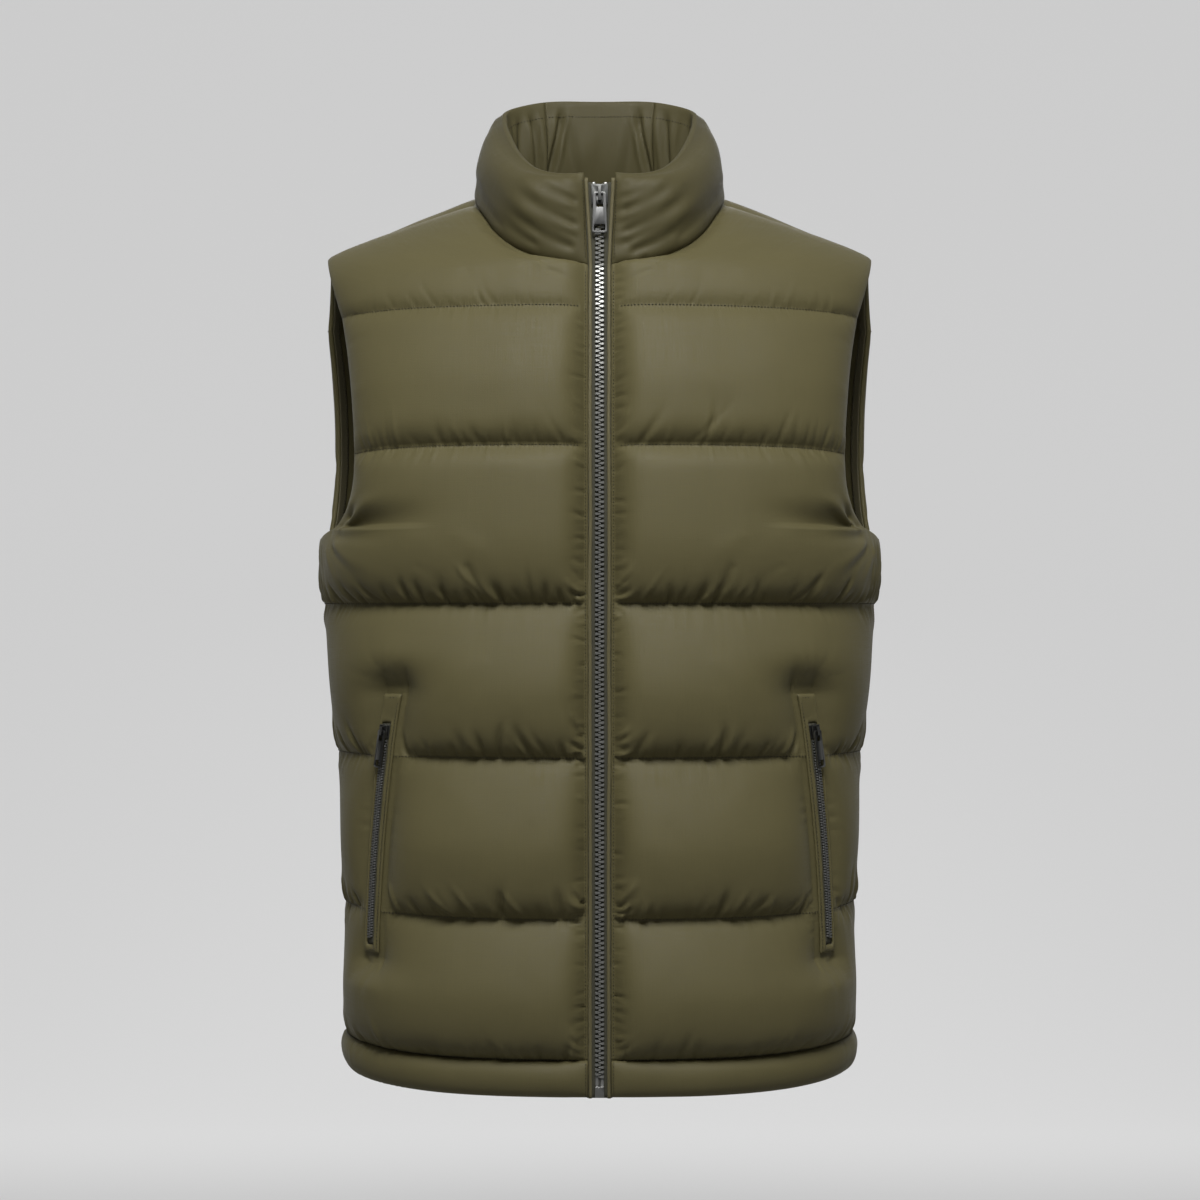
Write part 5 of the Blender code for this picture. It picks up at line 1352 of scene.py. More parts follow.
def strip_rings(line, z, section, flare, waver=0.0, seed=0):
    """Rings of a strip along the zip: its section is a list of distances from the middle and in
    front of the lining, and it parts by the flare towards the top."""
    y = np.interp(z, *line)
    part = flare * np.clip((z + 62.0) / 66.0, 0, 1)
    shake = waver * soft_noise((len(z), 1), 5.0, 0.0, seed)
    section = np.asarray(section)
    x = section[None, :, 0] + part[:, None] + shake
    depth = y[:, None] - section[None, :, 1] - 0.5 * shake
    return np.stack([x, depth, np.broadcast_to(z[:, None], x.shape)], axis=-1)


def rounded_bar(low, high, radius, steps=4):
    """A closed section: a rectangle between two corners, with round corners."""
    turn = np.linspace(0, math.pi / 2, steps)
    points = []
    for k, (sx, sy) in enumerate(((1, 1), (-1, 1), (-1, -1), (1, -1))):
        cx = (high[0] - radius) if sx > 0 else (low[0] + radius)
        cy = (high[1] - radius) if sy > 0 else (low[1] + radius)
        angle = turn + k * math.pi / 2
        points += list(zip(cx + radius * np.cos(angle), cy + radius * np.sin(angle)))
    return np.array(points)


def make_zip_strips(line, lip_finish, tape_finish):
    """The folded lips that border the zip, and the woven tapes behind them."""
    z = np.arange(HEM_BOTTOM_Z, ZIP_TOP_Z + 0.1, 3.0)
    lip = rounded_bar((LIP_INNER_X, LIP_BACK), (LIP_OUTER_X, LIP_FRONT), 1.1)
    tape = rounded_bar((TAPE_INNER_X, TAPE_BACK), (LIP_OUTER_X + 1.2, TAPE_FRONT), 0.35, 3)
    for side, turn in SIDES.items():
        rings = strip_rings(line, z, lip, LIP_FLARE, 0.16, 151 + len(side)) * turn
        piece = in_place_of(f"zip_lip_{side}", tube_piece(
            f"zip_lip_{side}_fold", rings, lip_finish))
        low = z[z < ZIP_TOP_Z - 1.0]
        rings = strip_rings(line, low, tape, LIP_FLARE * 0.6) * turn
        piece = in_place_of(f"zip_tape_{side}", tube_piece(
            f"zip_tape_{side}_weave", rings, tape_finish))


def tooth_outline(length, head, tip, steps=6):
    """A tooth seen from the front: a round head that narrows to a blunt point. X runs to the
    point, from the head's far side at 0."""
    turn = np.linspace(math.pi / 2, 3 * math.pi / 2, steps)
    round_head = np.stack([head * 0.62 * (1 + np.cos(turn)), head * np.sin(turn)], axis=1)
    neck = [(length * 0.62, -head * 0.72), (length * 0.86, -tip * 1.5), (length, -tip * 0.6),
            (length, tip * 0.6), (length * 0.86, tip * 1.5), (length * 0.62, head * 0.72)]
    return np.concatenate([round_head, neck])


def teeth_mesh(places, outline, depths, inset):
    """Many alike teeth as one mesh. places are rows of an origin and the three directions towards
    the point, up and out; the outline is drawn in at the front and back edges."""
    centre = outline.mean(axis=0)
    layers = []
    for depth, grow in zip(depths, inset):
        ring = centre + (outline - centre) * grow
        layers.append(np.column_stack([ring, np.full(len(ring), depth)]))
    shape = np.concatenate(layers)
    origin, point_way, up, out = places
    points = (origin[:, None] + shape[None, :, 0, None] * point_way[:, None]
              + shape[None, :, 1, None] * up[:, None] + shape[None, :, 2, None] * out[:, None])
    return points.reshape(-1, 3), beads(len(depths), len(outline), len(origin))


def zip_teeth_places(line, side_sign, z):
    """Where the centre zip's teeth stand on one tape."""
    y = np.interp(z, *line)
    up = unit(np.stack([0 * z, np.interp(z + 2, *line) - np.interp(z - 2, *line), 0 * z + 4], 1))
    out = np.cross([1.0, 0, 0], up)
    out *= -np.sign(out[:, 1:2]) * np.ones(3)
    origin = np.stack([side_sign * 3.45 + 0 * z, y, z], axis=1)
    point_way = np.tile([-side_sign, 0.0, 0.0], (len(z), 1))
    return origin, point_way, up, out


def make_zip_teeth(line, finish):
    """Two rows of moulded teeth that take turns down the middle."""
    z = np.arange(TEETH_BOTTOM_Z + 1.5, TEETH_TOP_Z - 0.9, TOOTH_PITCH)
    outline = tooth_outline(4.35, 1.16, 0.42)
    for side, sign, shift in (("left", 1, 0.0), ("right", -1, TOOTH_PITCH / 2)):
        row = (z + shift)[:-1]
        points, faces = teeth_mesh(zip_teeth_places(line, sign, row), outline,
                                   (0.05, 0.35, 2.75, 3.15), (0.9, 1.0, 1.0, 0.78))
        piece = add_mesh(f"zip_teeth_{side}_moulded", points, faces, finish, smooth=False)
        in_place_of(f"zip_teeth_{side}", outward(piece))


# ---- Pockets
SLIT_HALF_WIDTH = 3.8
WELT_BACK, WELT_THICKNESS = 0.4, 1.5
POCKET_TAPE_LIFT = 1.2


def on_bed(front, z, across):
    """Points on the pocket's flat bed at these heights, their normals, and distances across the
    slit: across is in millimetres from it, towards the side seam."""
    z = np.atleast_1d(np.asarray(z, float))
    row = np.interp(z, MAIN_ROWS_Z, MAIN_ROWS)
    left, right = (at_places(front, "outer", row, np.full(len(z), col)) for col in BED_COLUMNS)
    wide = np.linalg.norm(right - left, axis=1, keepdims=True)
    share = WELT_INWARD / (WELT_INWARD + WELT_OUTWARD)
    point = left + (right - left) * share + (right - left) / wide * across
    above, below = (at_places(front, "outer", row + d, np.full(len(z), sum(BED_COLUMNS) / 2))
                    for d in (0.3, -0.3))
    return point, unit(np.cross(right - left, above - below))


def make_welts(front, finish):
    """Each pocket's welts: a flat frame of folded cloth round the slit, whose edges are rounded
    and whose inner folds stand a little higher than its stitched rows."""
    step = 2.0
    z = np.arange(POCKET_BOTTOM_Z, POCKET_TOP_Z + 0.1, step)
    z = np.unique(np.concatenate([z, [POCKET_SLIT_BOTTOM_Z, POCKET_SLIT_TOP_Z]]))
    across = np.concatenate([np.linspace(-WELT_WIDTH, -SLIT_HALF_WIDTH, 9), [0.0],
                             np.linspace(SLIT_HALF_WIDTH, WELT_OUTWARD, 5)])
    in_slit = (z >= POCKET_SLIT_BOTTOM_Z - 0.01) & (z <= POCKET_SLIT_TOP_Z + 0.01)
    to_end = np.minimum(z - POCKET_BOTTOM_Z, POCKET_TOP_Z - z)[:, None]
    to_side = np.minimum(across + WELT_WIDTH, WELT_OUTWARD - across)[None, :]
    beside = abs(across)[None, :] - SLIT_HALF_WIDTH
    to_slit = np.where(in_slit[:, None], beside, np.maximum(beside, np.minimum(
        abs(z - POCKET_SLIT_BOTTOM_Z), abs(z - POCKET_SLIT_TOP_Z))[:, None]))
    to_slit = np.clip(to_slit, 0, None)
    edge = np.clip(np.minimum(np.minimum(to_end, to_side), to_slit) / 1.3, 0, 1)
    rise = 0.35 + 0.65 * np.sqrt(1 - (1 - edge) ** 2)
    fold = 0.45 * np.exp(-(to_slit - 1.3) ** 2) * in_slit[:, None]
    stitched = 0.45 * np.exp(-((to_slit - 3.6) / 0.8) ** 2) * (across < 0)[None, :]
    puckers = 0.22 * soft_noise(rise.shape, 2.0, 1.6, 171) * np.clip(to_side / 3, 0, 1)
    height = WELT_BACK + WELT_THICKNESS * rise + fold - stitched + puckers * edge
    beds = [on_bed(front, z, a) for a in across]
    low = np.stack([p + out * WELT_BACK for p, out in beds], axis=1)
    high = np.stack([p + out * height[:, k:k + 1] for k, (p, out) in enumerate(beds)], axis=1)
    rows, cols = height.shape
    cell = np.ones((rows - 1, cols - 1), bool)
    hole = in_slit[:-1] & in_slit[1:]
    middle = np.flatnonzero((across[:-1] >= -SLIT_HALF_WIDTH) & (across[1:] <= SLIT_HALF_WIDTH))
    cell[np.ix_(hole, middle)] = False
    number = np.arange(rows * cols).reshape(rows, cols)
    quads = grid_quads(number)[cell.reshape(-1)]
    faces = quads.tolist() + (quads[:, ::-1] + rows * cols).tolist()
    edges = np.concatenate([quads[:, [k, (k + 1) % 4]] for k in range(4)])
    index, times = np.unique(np.sort(edges, axis=1), axis=0, return_index=True,
                             return_counts=True)[1:]
    border = edges[index[times == 1]]
    faces += np.stack([border[:, 1], border[:, 0], border[:, 0] + rows * cols,
                       border[:, 1] + rows * cols], axis=1).tolist()
    points = np.concatenate([high.reshape(-1, 3), low.reshape(-1, 3)])
    place = np.stack(np.meshgrid(z, across, indexing="ij")[::-1], axis=-1).reshape(-1, 2)
    for side, turn in SIDES.items():
        piece = add_mesh(f"pocket_{side}_welts", points * turn, faces, finish,
                         cloth_place=np.concatenate([place, place]))
        in_place_of(f"pocket_welt_{side}", outward(piece))


def make_pocket_zips(front, tape_finish, teeth_finish):
    """Each pocket's tape and its two rows of small teeth."""
    z = np.arange(POCKET_SLIT_BOTTOM_Z + 0.4, POCKET_SLIT_TOP_Z - 0.3, 3.0)
    edges = (-SLIT_HALF_WIDTH + 0.35, SLIT_HALF_WIDTH - 0.35)
    beds = [on_bed(front, z, a) for a in (edges[0], edges[0] / 3, edges[1] / 3, edges[1])]
    upper = [p + n * lift for (p, n), lift in zip(beds, (0.9, 0.95, 0.95, 0.9))]
    lower = [p + n * WELT_BACK for p, n in beds[::-1]]
    tape = np.array(upper + lower).transpose(1, 0, 2)
    rows = np.arange(POCKET_SLIT_BOTTOM_Z + 5.8, POCKET_SLIT_TOP_Z - 12.4, POCKET_TOOTH_PITCH)
    outline = tooth_outline(3.2, 0.68, 0.3, 5)
    teeth = []
    for sign, shift in ((1, 0.0), (-1, POCKET_TOOTH_PITCH / 2)):
        at = (rows + shift)[:-1]
        origin, out = on_bed(front, at, sign * 2.6)
        up = unit(on_bed(front, at + 1, 0.0)[0] - on_bed(front, at - 1, 0.0)[0])
        point_way = unit(on_bed(front, at, 0.0)[0] - origin)
        teeth.append(teeth_mesh((origin, point_way, up, out), outline,
                                (POCKET_TAPE_LIFT, 1.45, 2.6, 2.9), (0.9, 1.0, 1.0, 0.72)))
    points, faces = joined_meshes(teeth)
    for side, turn in SIDES.items():
        piece = in_place_of(f"pocket_tape_{side}", tube_piece(
            f"pocket_{side}_tape", tape * turn, tape_finish))
        piece = add_mesh(f"pocket_{side}_teeth", points * turn, faces, teeth_finish, smooth=False)
        in_place_of(f"pocket_teeth_{side}", outward(piece))


# ---- Metal and moulded fittings
def refined(part, word, width, finish):
    """A copy of a node's solid with its flat faces joined and its edges rounded. A pull rides on
    its own body."""
    work = bmesh.new()
    work.from_mesh(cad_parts[part].data)
    bmesh.ops.remove_doubles(work, verts=work.verts, dist=0.01 * MM)
    bmesh.ops.dissolve_limit(work, angle_limit=math.radians(1.5), verts=work.verts,
                             edges=work.edges)
    sharp = [e for e in work.edges if e.is_manifold and e.calc_face_angle() > math.radians(28)]
    bmesh.ops.bevel(work, geom=sharp, offset=width * MM, segments=3, affect="EDGES",
                    profile=0.5, clamp_overlap=True)
    bmesh.ops.triangulate(work, faces=[f for f in work.faces if len(f.verts) > 4])
    mesh = bpy.data.meshes.new(f"{part}_{word}")
    work.to_mesh(mesh)
    work.free()
    mesh.shade_smooth()
    mesh.set_sharp_from_angle(angle=math.radians(35))
    mesh.materials.append(finish)
    piece = bpy.data.objects.new(f"{part}_{word}", mesh)
    bpy.context.scene.collection.objects.link(piece)
    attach(piece, part if "pull" in part else "vest")
    in_place_of(part, piece)


def zip_bar(name, line, corners, heights, finish, side="left"):
    """A small upright bar with round corners on the zip."""
    rings = strip_rings(line, np.linspace(*heights, 4), rounded_bar(*corners, 0.3), 0)
    tube_piece(name, rings * SIDES[side], finish)


def make_fittings(line, metal, dark, film):
    """The sliders, their pull tabs, the zip's retainer box on its film patch, and its top stops."""
    zip_bar("zip_film_patch", line, ((-6.2, 0.2), (6.2, 0.9)), (-683.0, -646.0), film)
    for side in SIDES:
        zip_bar(f"zip_top_stop_{side}", line, ((3.4, 1.0), (5.4, 3.4)), (-2.6, 0.2), metal,
                side)
    refined("zip_slider", "metal", 0.35, dark)
    refined("zip_pull", "metal", 0.22, metal)
    refined("zip_box", "moulded", 0.35, dark)
    for side in SIDES:
        refined(f"pocket_slider_{side}", "metal", 0.25, dark)
        refined(f"pocket_pull_{side}", "metal", 0.2, dark)


# ---- Stitching
STITCH_PITCH = 2.6
STITCH_LENGTH = 1.6
THREAD_RADIUS = 0.34


def stitches_on(points, out):
    """Stitches along a line on the cloth: each is a thread that rises from its hole, runs along
    and goes down again, as a five-sided spindle r(t) = r sin(pi t)^0.4 lifted by sin(pi t)."""
    walked = lengths(points)
    starts = np.arange(STITCH_PITCH / 2, walked[-1] - STITCH_PITCH, STITCH_PITCH)
    share = np.array([0.06, 0.3, 0.7, 0.94])
    at = starts[:, None] + share[None, :] * STITCH_LENGTH
    middle, lift_way = read_at(at, walked, points), unit(read_at(at, walked, out))
    side_way = unit(np.cross(unit(np.gradient(middle, axis=1)), lift_way))
    middle = middle + lift_way * (np.sin(math.pi * share) * 0.30 - 0.08)[None, :, None]
    turn = np.linspace(0, 2 * math.pi, 6)[:-1]
    wide = (THREAD_RADIUS * np.sin(math.pi * share) ** 0.4)[None, :, None, None]
    ring = (np.cos(turn)[None, None, :, None] * side_way[:, :, None]
            + np.sin(turn)[None, None, :, None] * lift_way[:, :, None])
    points = (middle[:, :, None] + ring * wide).reshape(-1, 3)
    return points, beads(len(share), len(turn), len(starts))


def thread_piece(name, lines, finish, side="left"):
    """One object with all the stitches along some lines, each a pair of points and directions."""
    points, faces = joined_meshes([stitches_on(p, n) for p, n in lines])
    outward(add_mesh(name, points * SIDES[side], faces, finish))


def make_stitching(front, back, outers, collar, hem, facing_line, finish):
    """Rows of stitches: the placket, the quilting seams, the hem seam, the welts, the collar's rim
    and the armholes."""
    first, col = front.row_index(front.corner_row), front.col_index(0.45)
    for side in SIDES:
        outer, out = outers[side], front.normal
        lines = [(outer[1:first, col] + out[1:first, col] * 0.3, out[1:first, col])]
        for row in front.seams:
            cells = np.flatnonzero(front.present[row] & (front.walked[row] > 4.0))
            lift = 0.5 if row == front.seams[-1] else 0.35
            lines.append((outer[row, cells] + out[row, cells] * lift, out[row, cells]))
        thread_piece(f"front_{side}_stitches", lines, finish, side)
        across, z = -WELT_WIDTH + 1.7, np.arange(POCKET_BOTTOM_Z + 3, POCKET_TOP_Z - 3, 2.0)
        rows = []
        for a, top, bottom in ((across, 0, 0), (SLIT_HALF_WIDTH + 1.3, 24, 10)):
            part = z[(z > POCKET_BOTTOM_Z + bottom) & (z < POCKET_TOP_Z - top)]
            point, out = on_bed(front, part, a)
            rows.append((point + out * (WELT_BACK + WELT_THICKNESS - 0.15), out))
        for height in (POCKET_TOP_Z - 3.0, POCKET_BOTTOM_Z + 2.5):
            line = [on_bed(front, height, a) for a in np.linspace(across, WELT_OUTWARD - 2.0, 8)]
            point, out = (np.concatenate(part) for part in zip(*line))
            rows.append((point + out * (WELT_BACK + WELT_THICKNESS - 0.1), out))
        thread_piece(f"pocket_{side}_stitches", rows, finish, side)
    lines = []
    for row in back.seams:
        cells = np.flatnonzero(back.present[row])
        for side, turn in SIDES.items():
            out = back.normal[row, cells]
            lines.append(((outers["back_" + side][row, cells] + out * 0.35) * turn, out * turn))
    thread_piece("back_stitches", lines, finish)
    rim_lines = []
    for side, rings in collar.items():
        at = COLLAR_LEVELS + COLLAR_RIM_RINGS + 3
        inward = unit(rings[:, at] - rings[:, at - 9])
        rim_lines.append((rings[:, at] + inward * 0.25, inward))
        if side != "back":
            level = rings[1, 2:COLLAR_LEVELS - 1]
            way = np.tile([0.0, -1.0, 0.12], (len(level), 1))
            rim_lines.append((level + [0, -0.35, 0], way))
    thread_piece("collar_stitches", rim_lines, finish)
    hem_lines = []
    for side in ("front_left", "front_right"):
        ring = hem[side][1, 1:-8]
        hem_lines.append((ring[::-1] + [0, -0.3, 0], np.tile([0.0, -1.0, 0.0], (len(ring), 1))))
    thread_piece("hem_stitches", hem_lines, finish)
    inward = np.tile([-1.0, 0.0, 0.0], (len(facing_line), 1))
    for side in SIDES:
        thread_piece(f"facing_{side}_stitches", [(facing_line, inward)], finish, side)


# ---- Finishes
def node(tree, kind, **values):
    """A shader node with its properties set, and its inputs set or linked, by name."""
    made = tree.nodes.new(kind)
    for key, value in values.items():
        if key not in made.inputs:
            setattr(made, key, value)
        elif isinstance(value, bpy.types.NodeSocket):
            tree.links.new(value, made.inputs[key])
        else:
            made.inputs[key].default_value = value
    return made


def new_group(name, inputs, outputs):
    """An empty node group. Each input has a number, a colour or, for a vector, None. Returns it
    with the sockets of its input and output nodes."""
    group = bpy.data.node_groups.new(name, "ShaderNodeTree")
    for label, value in inputs.items():
        kind = "Vector" if value is None else "Color" if isinstance(value, tuple) else "Float"
        socket = group.interface.new_socket(label, in_out="INPUT", socket_type="NodeSocket" + kind)
        if value is not None:
            socket.default_value = value
    for label in outputs:
        kind = "NodeSocketColor" if label == "Colour" else "NodeSocketFloat"
        group.interface.new_socket(label, in_out="OUTPUT", socket_type=kind)
    return (group, group.nodes.new("NodeGroupInput").outputs,
            group.nodes.new("NodeGroupOutput").inputs)


def link_all(tree, sockets, **values):
    for label, value in values.items():
        tree.links.new(value, sockets[label.replace("_", " ")])


def arithmetic(tree, operation, a, b=None):
    made = node(tree, "ShaderNodeMath", operation=operation)
    for socket, value in zip(made.inputs, (a, b)):
        if isinstance(value, (int, float)):
            socket.default_value = value
        elif value is not None:
            tree.links.new(value, socket)
    return made.outputs[0]


def sums(tree):
    """Plus, minus and times as Math nodes of this tree."""
    return [functools.partial(arithmetic, tree, kind) for kind in ("ADD", "SUBTRACT", "MULTIPLY")]


def noise(tree, vector, ways, scale=1.0, detail=3.0):
    """Noise on a vector, which is scaled first where ways are given."""
    if ways:
        vector = node(tree, "ShaderNodeMapping", Scale=ways, Vector=vector).outputs["Vector"]
    return node(tree, "ShaderNodeTexNoise", Detail=detail, Roughness=0.55, Scale=scale,
                Vector=vector).outputs["Fac"]


def multiplied(tree, colour, tone):
    """A colour times a tone."""
    grey = node(tree, "ShaderNodeCombineColor", Red=tone, Green=tone, Blue=tone).outputs[0]
    return node(tree, "ShaderNodeMix", data_type="RGBA", blend_type="MULTIPLY", Factor=1.0,
                A=colour, B=grey).outputs["Result"]


def weave_group():
    """Fine woven cloth on a vector in metres: slubs along both threads, a soft mottling, and the
    threads' own relief. Tone is centred on 1 and multiplies the colour."""
    group, given, out = new_group("woven cloth", {
        "Vector": None, "Threads": 2600.0, "Slub": 0.1, "Mottle": 0.08, "Streaks": 0.0,
        "Gathers": 0.0, "Puckers": 0.0, "Plain Roughness": 0.45}, ("Tone", "Roughness", "Height"))
    plus, minus, times = sums(group)
    vector = given["Vector"]
    warp, weft = (noise(group, vector, ways, detail=2.0)
                  for ways in ((1500.0, 45.0, 45.0), (45.0, 1500.0, 1500.0)))
    mottle = noise(group, vector, None, 26.0, 4.0)
    slub = minus(plus(warp, weft), 1.0)
    tone = plus(1.0, plus(times(slub, given["Slub"]), times(minus(mottle, 0.5), given["Mottle"])))
    parts = node(group, "ShaderNodeSeparateXYZ", Vector=vector).outputs
    across, up = (arithmetic(group, "SINE", times(parts[k], given["Threads"])) for k in (0, 1))
    height = plus(times(times(across, up), 0.35), slub)
    for label, ways, strength in (("Streaks", (150.0, 16.0, 16.0), 1.0),
                                  ("Gathers", (380.0, 60.0, 60.0), 36.0),
                                  ("Puckers", (60.0, 190.0, 60.0), 12.0)):
        waves = minus(noise(group, vector, ways), 0.5)
        height = plus(height, times(waves, times(given[label], strength)))
    rough = plus(given["Plain Roughness"], times(slub, 0.35))
    link_all(group, out, Tone=tone, Roughness=rough, Height=height)
    return group


def wear_group():
    """Brushed or moulded hard surfaces on Object coordinates: fine scratches along one way, soft
    smudges, and brighter edges where the surface turns."""
    group, given, out = new_group("handled surface", {
        "Colour": (0.2, 0.2, 0.2, 1), "Edge Colour": (0.5, 0.5, 0.5, 1),
        "Plain Roughness": 0.35, "Scratch": 0.15}, ("Colour", "Roughness", "Height"))
    plus, minus, times = sums(group)
    place = node(group, "ShaderNodeTexCoord").outputs["Object"]
    brushed = noise(group, place, (5200.0, 900.0, 260.0))
    smudge = noise(group, place, None, 420.0)
    turned = node(group, "ShaderNodeNewGeometry").outputs["Pointiness"]
    edge = node(group, "ShaderNodeMapRange", Value=turned, **{"From Min": 0.52, "From Max": 0.60})
    tinted = multiplied(group, given["Colour"], plus(0.82, times(brushed, 0.36)))
    mix = node(group, "ShaderNodeMix", data_type="RGBA", Factor=edge.outputs[0], A=tinted,
               B=given["Edge Colour"]).outputs["Result"]
    rough = plus(given["Plain Roughness"],
                 times(minus(plus(brushed, smudge), 1.0), given["Scratch"]))
    link_all(group, out, Colour=mix, Roughness=rough, Height=brushed)
    return group


def plain_material(name, values):
    """A material, its node tree and its shader's inputs, of which some get values."""
    made = bpy.data.materials.new(name)
    made.use_nodes = True
    shader = made.node_tree.nodes["Principled BSDF"].inputs
    for label, value in values.items():
        shader[label].default_value = value
    return made, made.node_tree, shader


def cover(tree, shader, colour, group, strength, distance):
    """Feeds the shader a colour, and a group's roughness and bump."""
    bump = node(tree, "ShaderNodeBump", Strength=strength, Distance=distance,
                Height=group["Height"]).outputs["Normal"]
    link_all(tree, shader, Base_Color=colour, Roughness=group["Roughness"], Normal=bump)


def cloth_material(name, colour, roughness, slub, mottle, threads, bump, sheen=0.0, streaks=0.0,
                   on_cloth=True):
    """A woven finish whose pattern follows the cloth's own UV map, or Object coordinates."""
    made, tree, shader = plain_material(name, {
        "Roughness": roughness, "Specular IOR Level": 0.32, "Sheen Weight": sheen,
        "Sheen Roughness": 0.45, "Sheen Tint": (0.85, 0.85, 0.7, 1)})
    place = (node(tree, "ShaderNodeUVMap", uv_map="cloth").outputs["UV"] if on_cloth
             else node(tree, "ShaderNodeTexCoord").outputs["Object"])
    ruffled = {mask.capitalize(): node(tree, "ShaderNodeAttribute",
                                       attribute_name=mask).outputs["Fac"]
               for mask in (("gathers", "puckers") if streaks else ())}
    cloth = node(tree, "ShaderNodeGroup", node_tree=weave, Vector=place, Threads=threads,
                 Slub=slub, Mottle=mottle, Streaks=streaks, **{"Plain Roughness": roughness},
                 **ruffled).outputs
    cover(tree, shader, multiplied(tree, colour, cloth["Tone"]), cloth, bump, 0.00012)
    return made


def hard_material(name, colour, edge_colour, roughness, metallic, scratch, bump):
    """A moulded or brushed finish with worn edges."""
    made, tree, shader = plain_material(name, {"Roughness": roughness, "Metallic": metallic})
    worn = node(tree, "ShaderNodeGroup", node_tree=surface, Colour=colour, Scratch=scratch,
                **{"Edge Colour": edge_colour, "Plain Roughness": roughness}).outputs
    cover(tree, shader, worn["Colour"], worn, bump, 0.00003)
    return made


# ---- Making the vest
weave, surface = weave_group(), wear_group()
shell = cloth_material("olive nylon shell", (0.112, 0.097, 0.040, 1), 0.62, 0.16, 0.12, 9000.0,
                       0.40, 0.04, 3.0)
lip_cloth = cloth_material("olive nylon lips", (0.125, 0.109, 0.053, 1), 0.6, 0.16, 0.10, 9000.0,
                           0.25, 0.12)
facing_cloth = cloth_material("olive lining cloth", (0.100, 0.088, 0.047, 1), 0.58, 0.14, 0.10,
                              9000.0, 0.2, 0.08)
tape = cloth_material("woven zip tape", (0.060, 0.058, 0.040, 1), 0.85, 0.5, 0.2, 5200.0, 0.9)
thread = cloth_material("sewing thread", (0.042, 0.036, 0.018, 1), 0.6, 0.4, 0.2, 14000.0, 0.4,
                        0.1, on_cloth=False)
moulded = hard_material("moulded gunmetal teeth", (0.085, 0.087, 0.080, 1),
                        (0.34, 0.34, 0.32, 1), 0.31, 0.55, 0.12, 0.1)
gunmetal = hard_material("brushed gunmetal", (0.12, 0.12, 0.118, 1), (0.36, 0.36, 0.34, 1), 0.40,
                         1.0, 0.16, 0.25)
dark_metal = hard_material("dark gunmetal", (0.055, 0.056, 0.053, 1), (0.24, 0.24, 0.23, 1), 0.42,
                           0.9, 0.12, 0.2)
film = hard_material("film over the tape", (0.055, 0.056, 0.047, 1), (0.1, 0.1, 0.09, 1), 0.38,
                     0.0, 0.1, 0.05)
small_teeth = hard_material("dark moulded teeth", (0.05, 0.05, 0.046, 1), (0.2, 0.2, 0.19, 1),
                            0.42, 0.4, 0.12, 0.1)
# Painted shade: the collar's cloth is the shell's olive made about a third darker, to stand in for
# the shade that falls on the collar.
collar_painted_shade_cloth = cloth_material("olive nylon with painted shade", (0.080, 0.069, 0.028, 1), 0.62, 0.16,
                              0.12, 9000.0, 0.40, 0.02, 3.0)

front_panel, back_panel = Panel(True, CELL), Panel(False, BACK_CELL)
settled = {"left": quilt(front_panel, 11), "right": quilt(front_panel, 23)}
settled["back_left"], settled["back_right"] = quilt_back(back_panel, 41)
for which in SIDES:
    make_front(which, front_panel, settled[which], shell)
make_back(back_panel, (settled["back_left"], settled["back_right"]), shell)
collar_rings = make_collar(front_panel, back_panel, collar_painted_shade_cloth)
hem_band = make_hem(front_panel, back_panel, shell)
facing_seam = make_facings(front_panel, back_panel, facing_cloth)
centre_line = zip_line(front_panel)
make_zip_strips(centre_line, lip_cloth, tape)
make_zip_teeth(centre_line, moulded)
make_welts(front_panel, shell)
make_pocket_zips(front_panel, tape, small_teeth)
make_fittings(centre_line, gunmetal, dark_metal, film)
make_stitching(front_panel, back_panel, settled, collar_rings, hem_band, facing_seam, thread)

# ---- Stage, light and camera
FLOOR_Z = -1.02
BEND_START_Y, BEND_RADIUS = 1.6, 0.9
BACKDROP_TOP_Z = 4.5


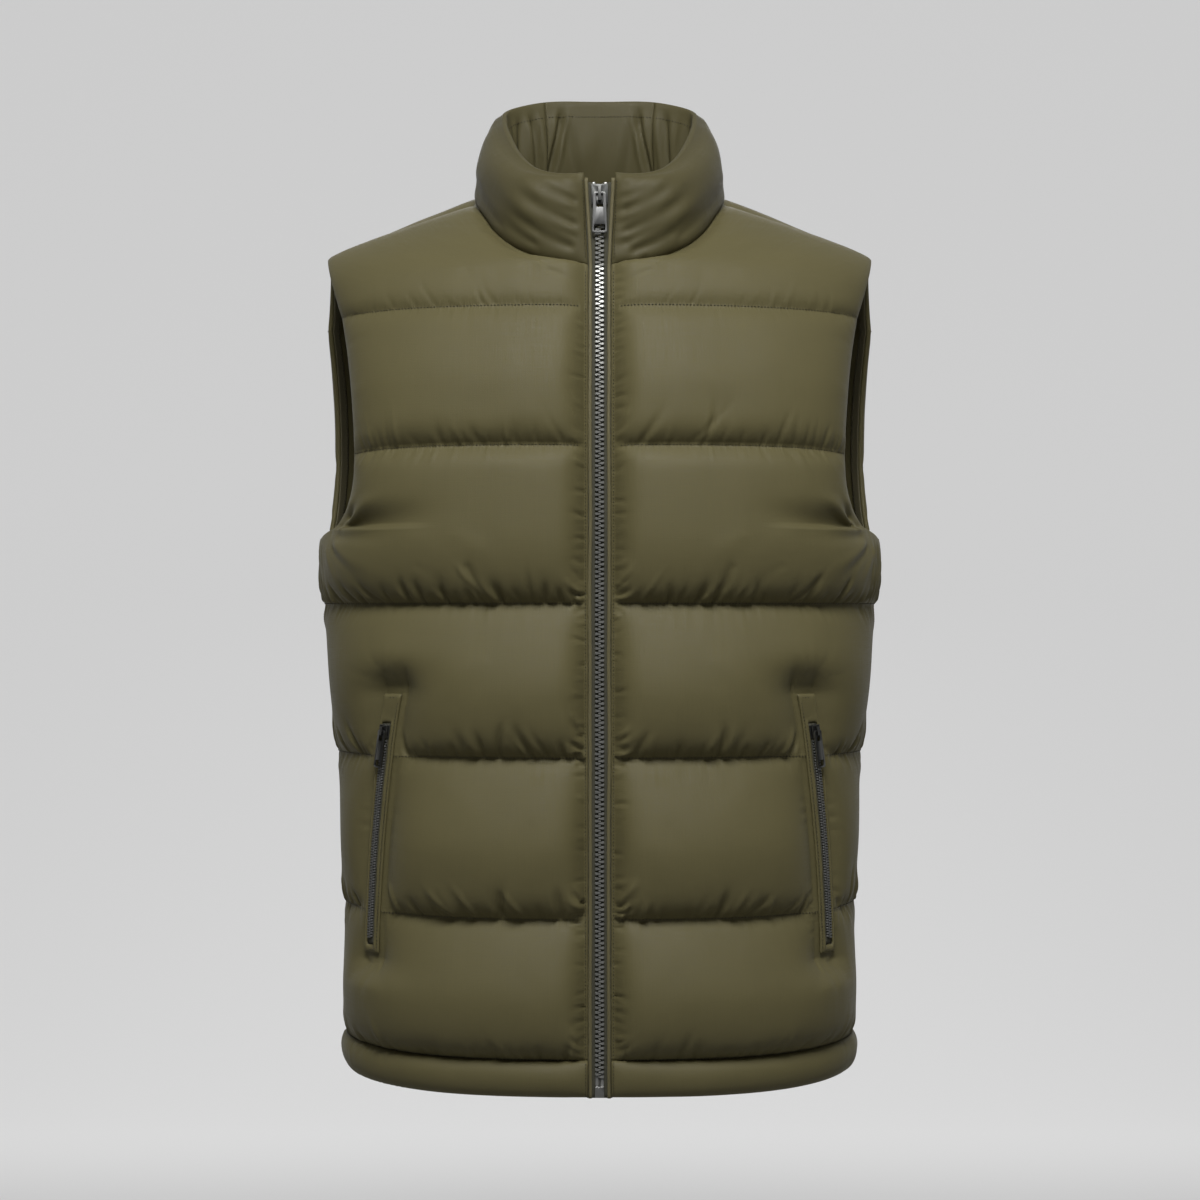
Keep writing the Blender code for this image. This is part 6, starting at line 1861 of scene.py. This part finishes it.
def make_stage():
    """A pale floor that curves up into a backdrop: z rises as a quarter circle and then straight."""
    turn = np.linspace(0, math.pi / 2, 24)
    y = np.concatenate([[-6.0], BEND_START_Y + BEND_RADIUS * np.sin(turn),
                        [BEND_START_Y + BEND_RADIUS]])
    z = np.concatenate([[FLOOR_Z], FLOOR_Z + BEND_RADIUS * (1 - np.cos(turn)), [BACKDROP_TOP_Z]])
    x = np.linspace(-5, 5, 2)
    points = np.stack([np.tile(x, len(y)), np.repeat(y, 2), np.repeat(z, 2)], axis=1)
    numbers = np.arange(len(points)).reshape(-1, 2)
    mesh = bpy.data.meshes.new("studio_sweep")
    mesh.from_pydata(points.tolist(), [], grid_quads(numbers)[:, ::-1].tolist())
    mesh.shade_smooth()
    finish, tree, shader = plain_material("pale studio paper", {
        "Roughness": 0.9, "Base Color": (0.18, 0.18, 0.18, 1), "Emission Color": (1, 1, 1, 1)})
    place = node(tree, "ShaderNodeTexCoord").outputs["Object"]
    depth = node(tree, "ShaderNodeSeparateXYZ", Vector=place).outputs[1]
    glow = node(tree, "ShaderNodeMapRange", interpolation_type="SMOOTHSTEP", Value=depth,
                **{"From Min": 0.2, "From Max": 1.6, "To Min": 0.08, "To Max": 0.52}).outputs[0]
    seen = node(tree, "ShaderNodeLightPath").outputs["Is Camera Ray"]
    pale = arithmetic(tree, "MAXIMUM", glow, arithmetic(tree, "MULTIPLY", seen, 0.36))
    link_all(tree, shader, Emission_Strength=pale)
    mesh.materials.append(finish)
    sweep = bpy.data.objects.new("studio_sweep", mesh)
    bpy.context.scene.collection.objects.link(sweep)


def softbox(name, place, power, size):
    """A round area light aimed at the vest's middle."""
    light = bpy.data.lights.new(name, "AREA")
    light.energy, light.shape, light.size = power, "DISK", size
    holder = bpy.data.objects.new(name, light)
    holder.location = place
    holder.visible_camera = False
    aim = Vector((0.0, -0.1, -0.3)) - Vector(place)
    holder.rotation_euler = aim.to_track_quat("-Z", "Y").to_euler()
    bpy.context.scene.collection.objects.link(holder)


def light_room():
    """A large soft light high in front, weaker ones behind and at the sides, and a dim room."""
    softbox("front_light", (0.0, -1.75, 1.40), 56.0, 1.0)
    softbox("back_light", (0.0, 2.2, 0.5), 15.0, 1.3)
    softbox("left_fill", (-2.2, -0.6, 0.9), 3.5, 1.4)
    softbox("right_fill", (2.2, -0.6, 0.9), 3.5, 1.4)
    world = bpy.data.worlds.new("studio")
    world.use_nodes = True
    tree = world.node_tree
    background = tree.nodes["Background"].inputs
    background["Color"].default_value = (1, 1, 1, 1)
    seen = node(tree, "ShaderNodeLightPath").outputs["Is Camera Ray"]
    pale = arithmetic(tree, "ADD", 0.10, arithmetic(tree, "MULTIPLY", seen, 0.5))
    link_all(tree, background, Strength=pale)
    bpy.context.scene.world = world
    bpy.context.scene.view_settings.view_transform = "Standard"


def place_camera():
    """A long lens level with the vest's middle, straight in front."""
    lens = bpy.data.cameras.new("camera")
    lens.sensor_width, lens.lens = 36.0, 88.08
    lens.clip_start, lens.clip_end = 0.05, 30.0
    camera = bpy.data.objects.new("camera", lens)
    camera.location = (0.0003, -2.3, -0.313)
    camera.rotation_euler = (math.pi / 2, 0, 0)
    bpy.context.scene.collection.objects.link(camera)
    bpy.context.scene.camera = camera


make_stage()
light_room()
place_camera()
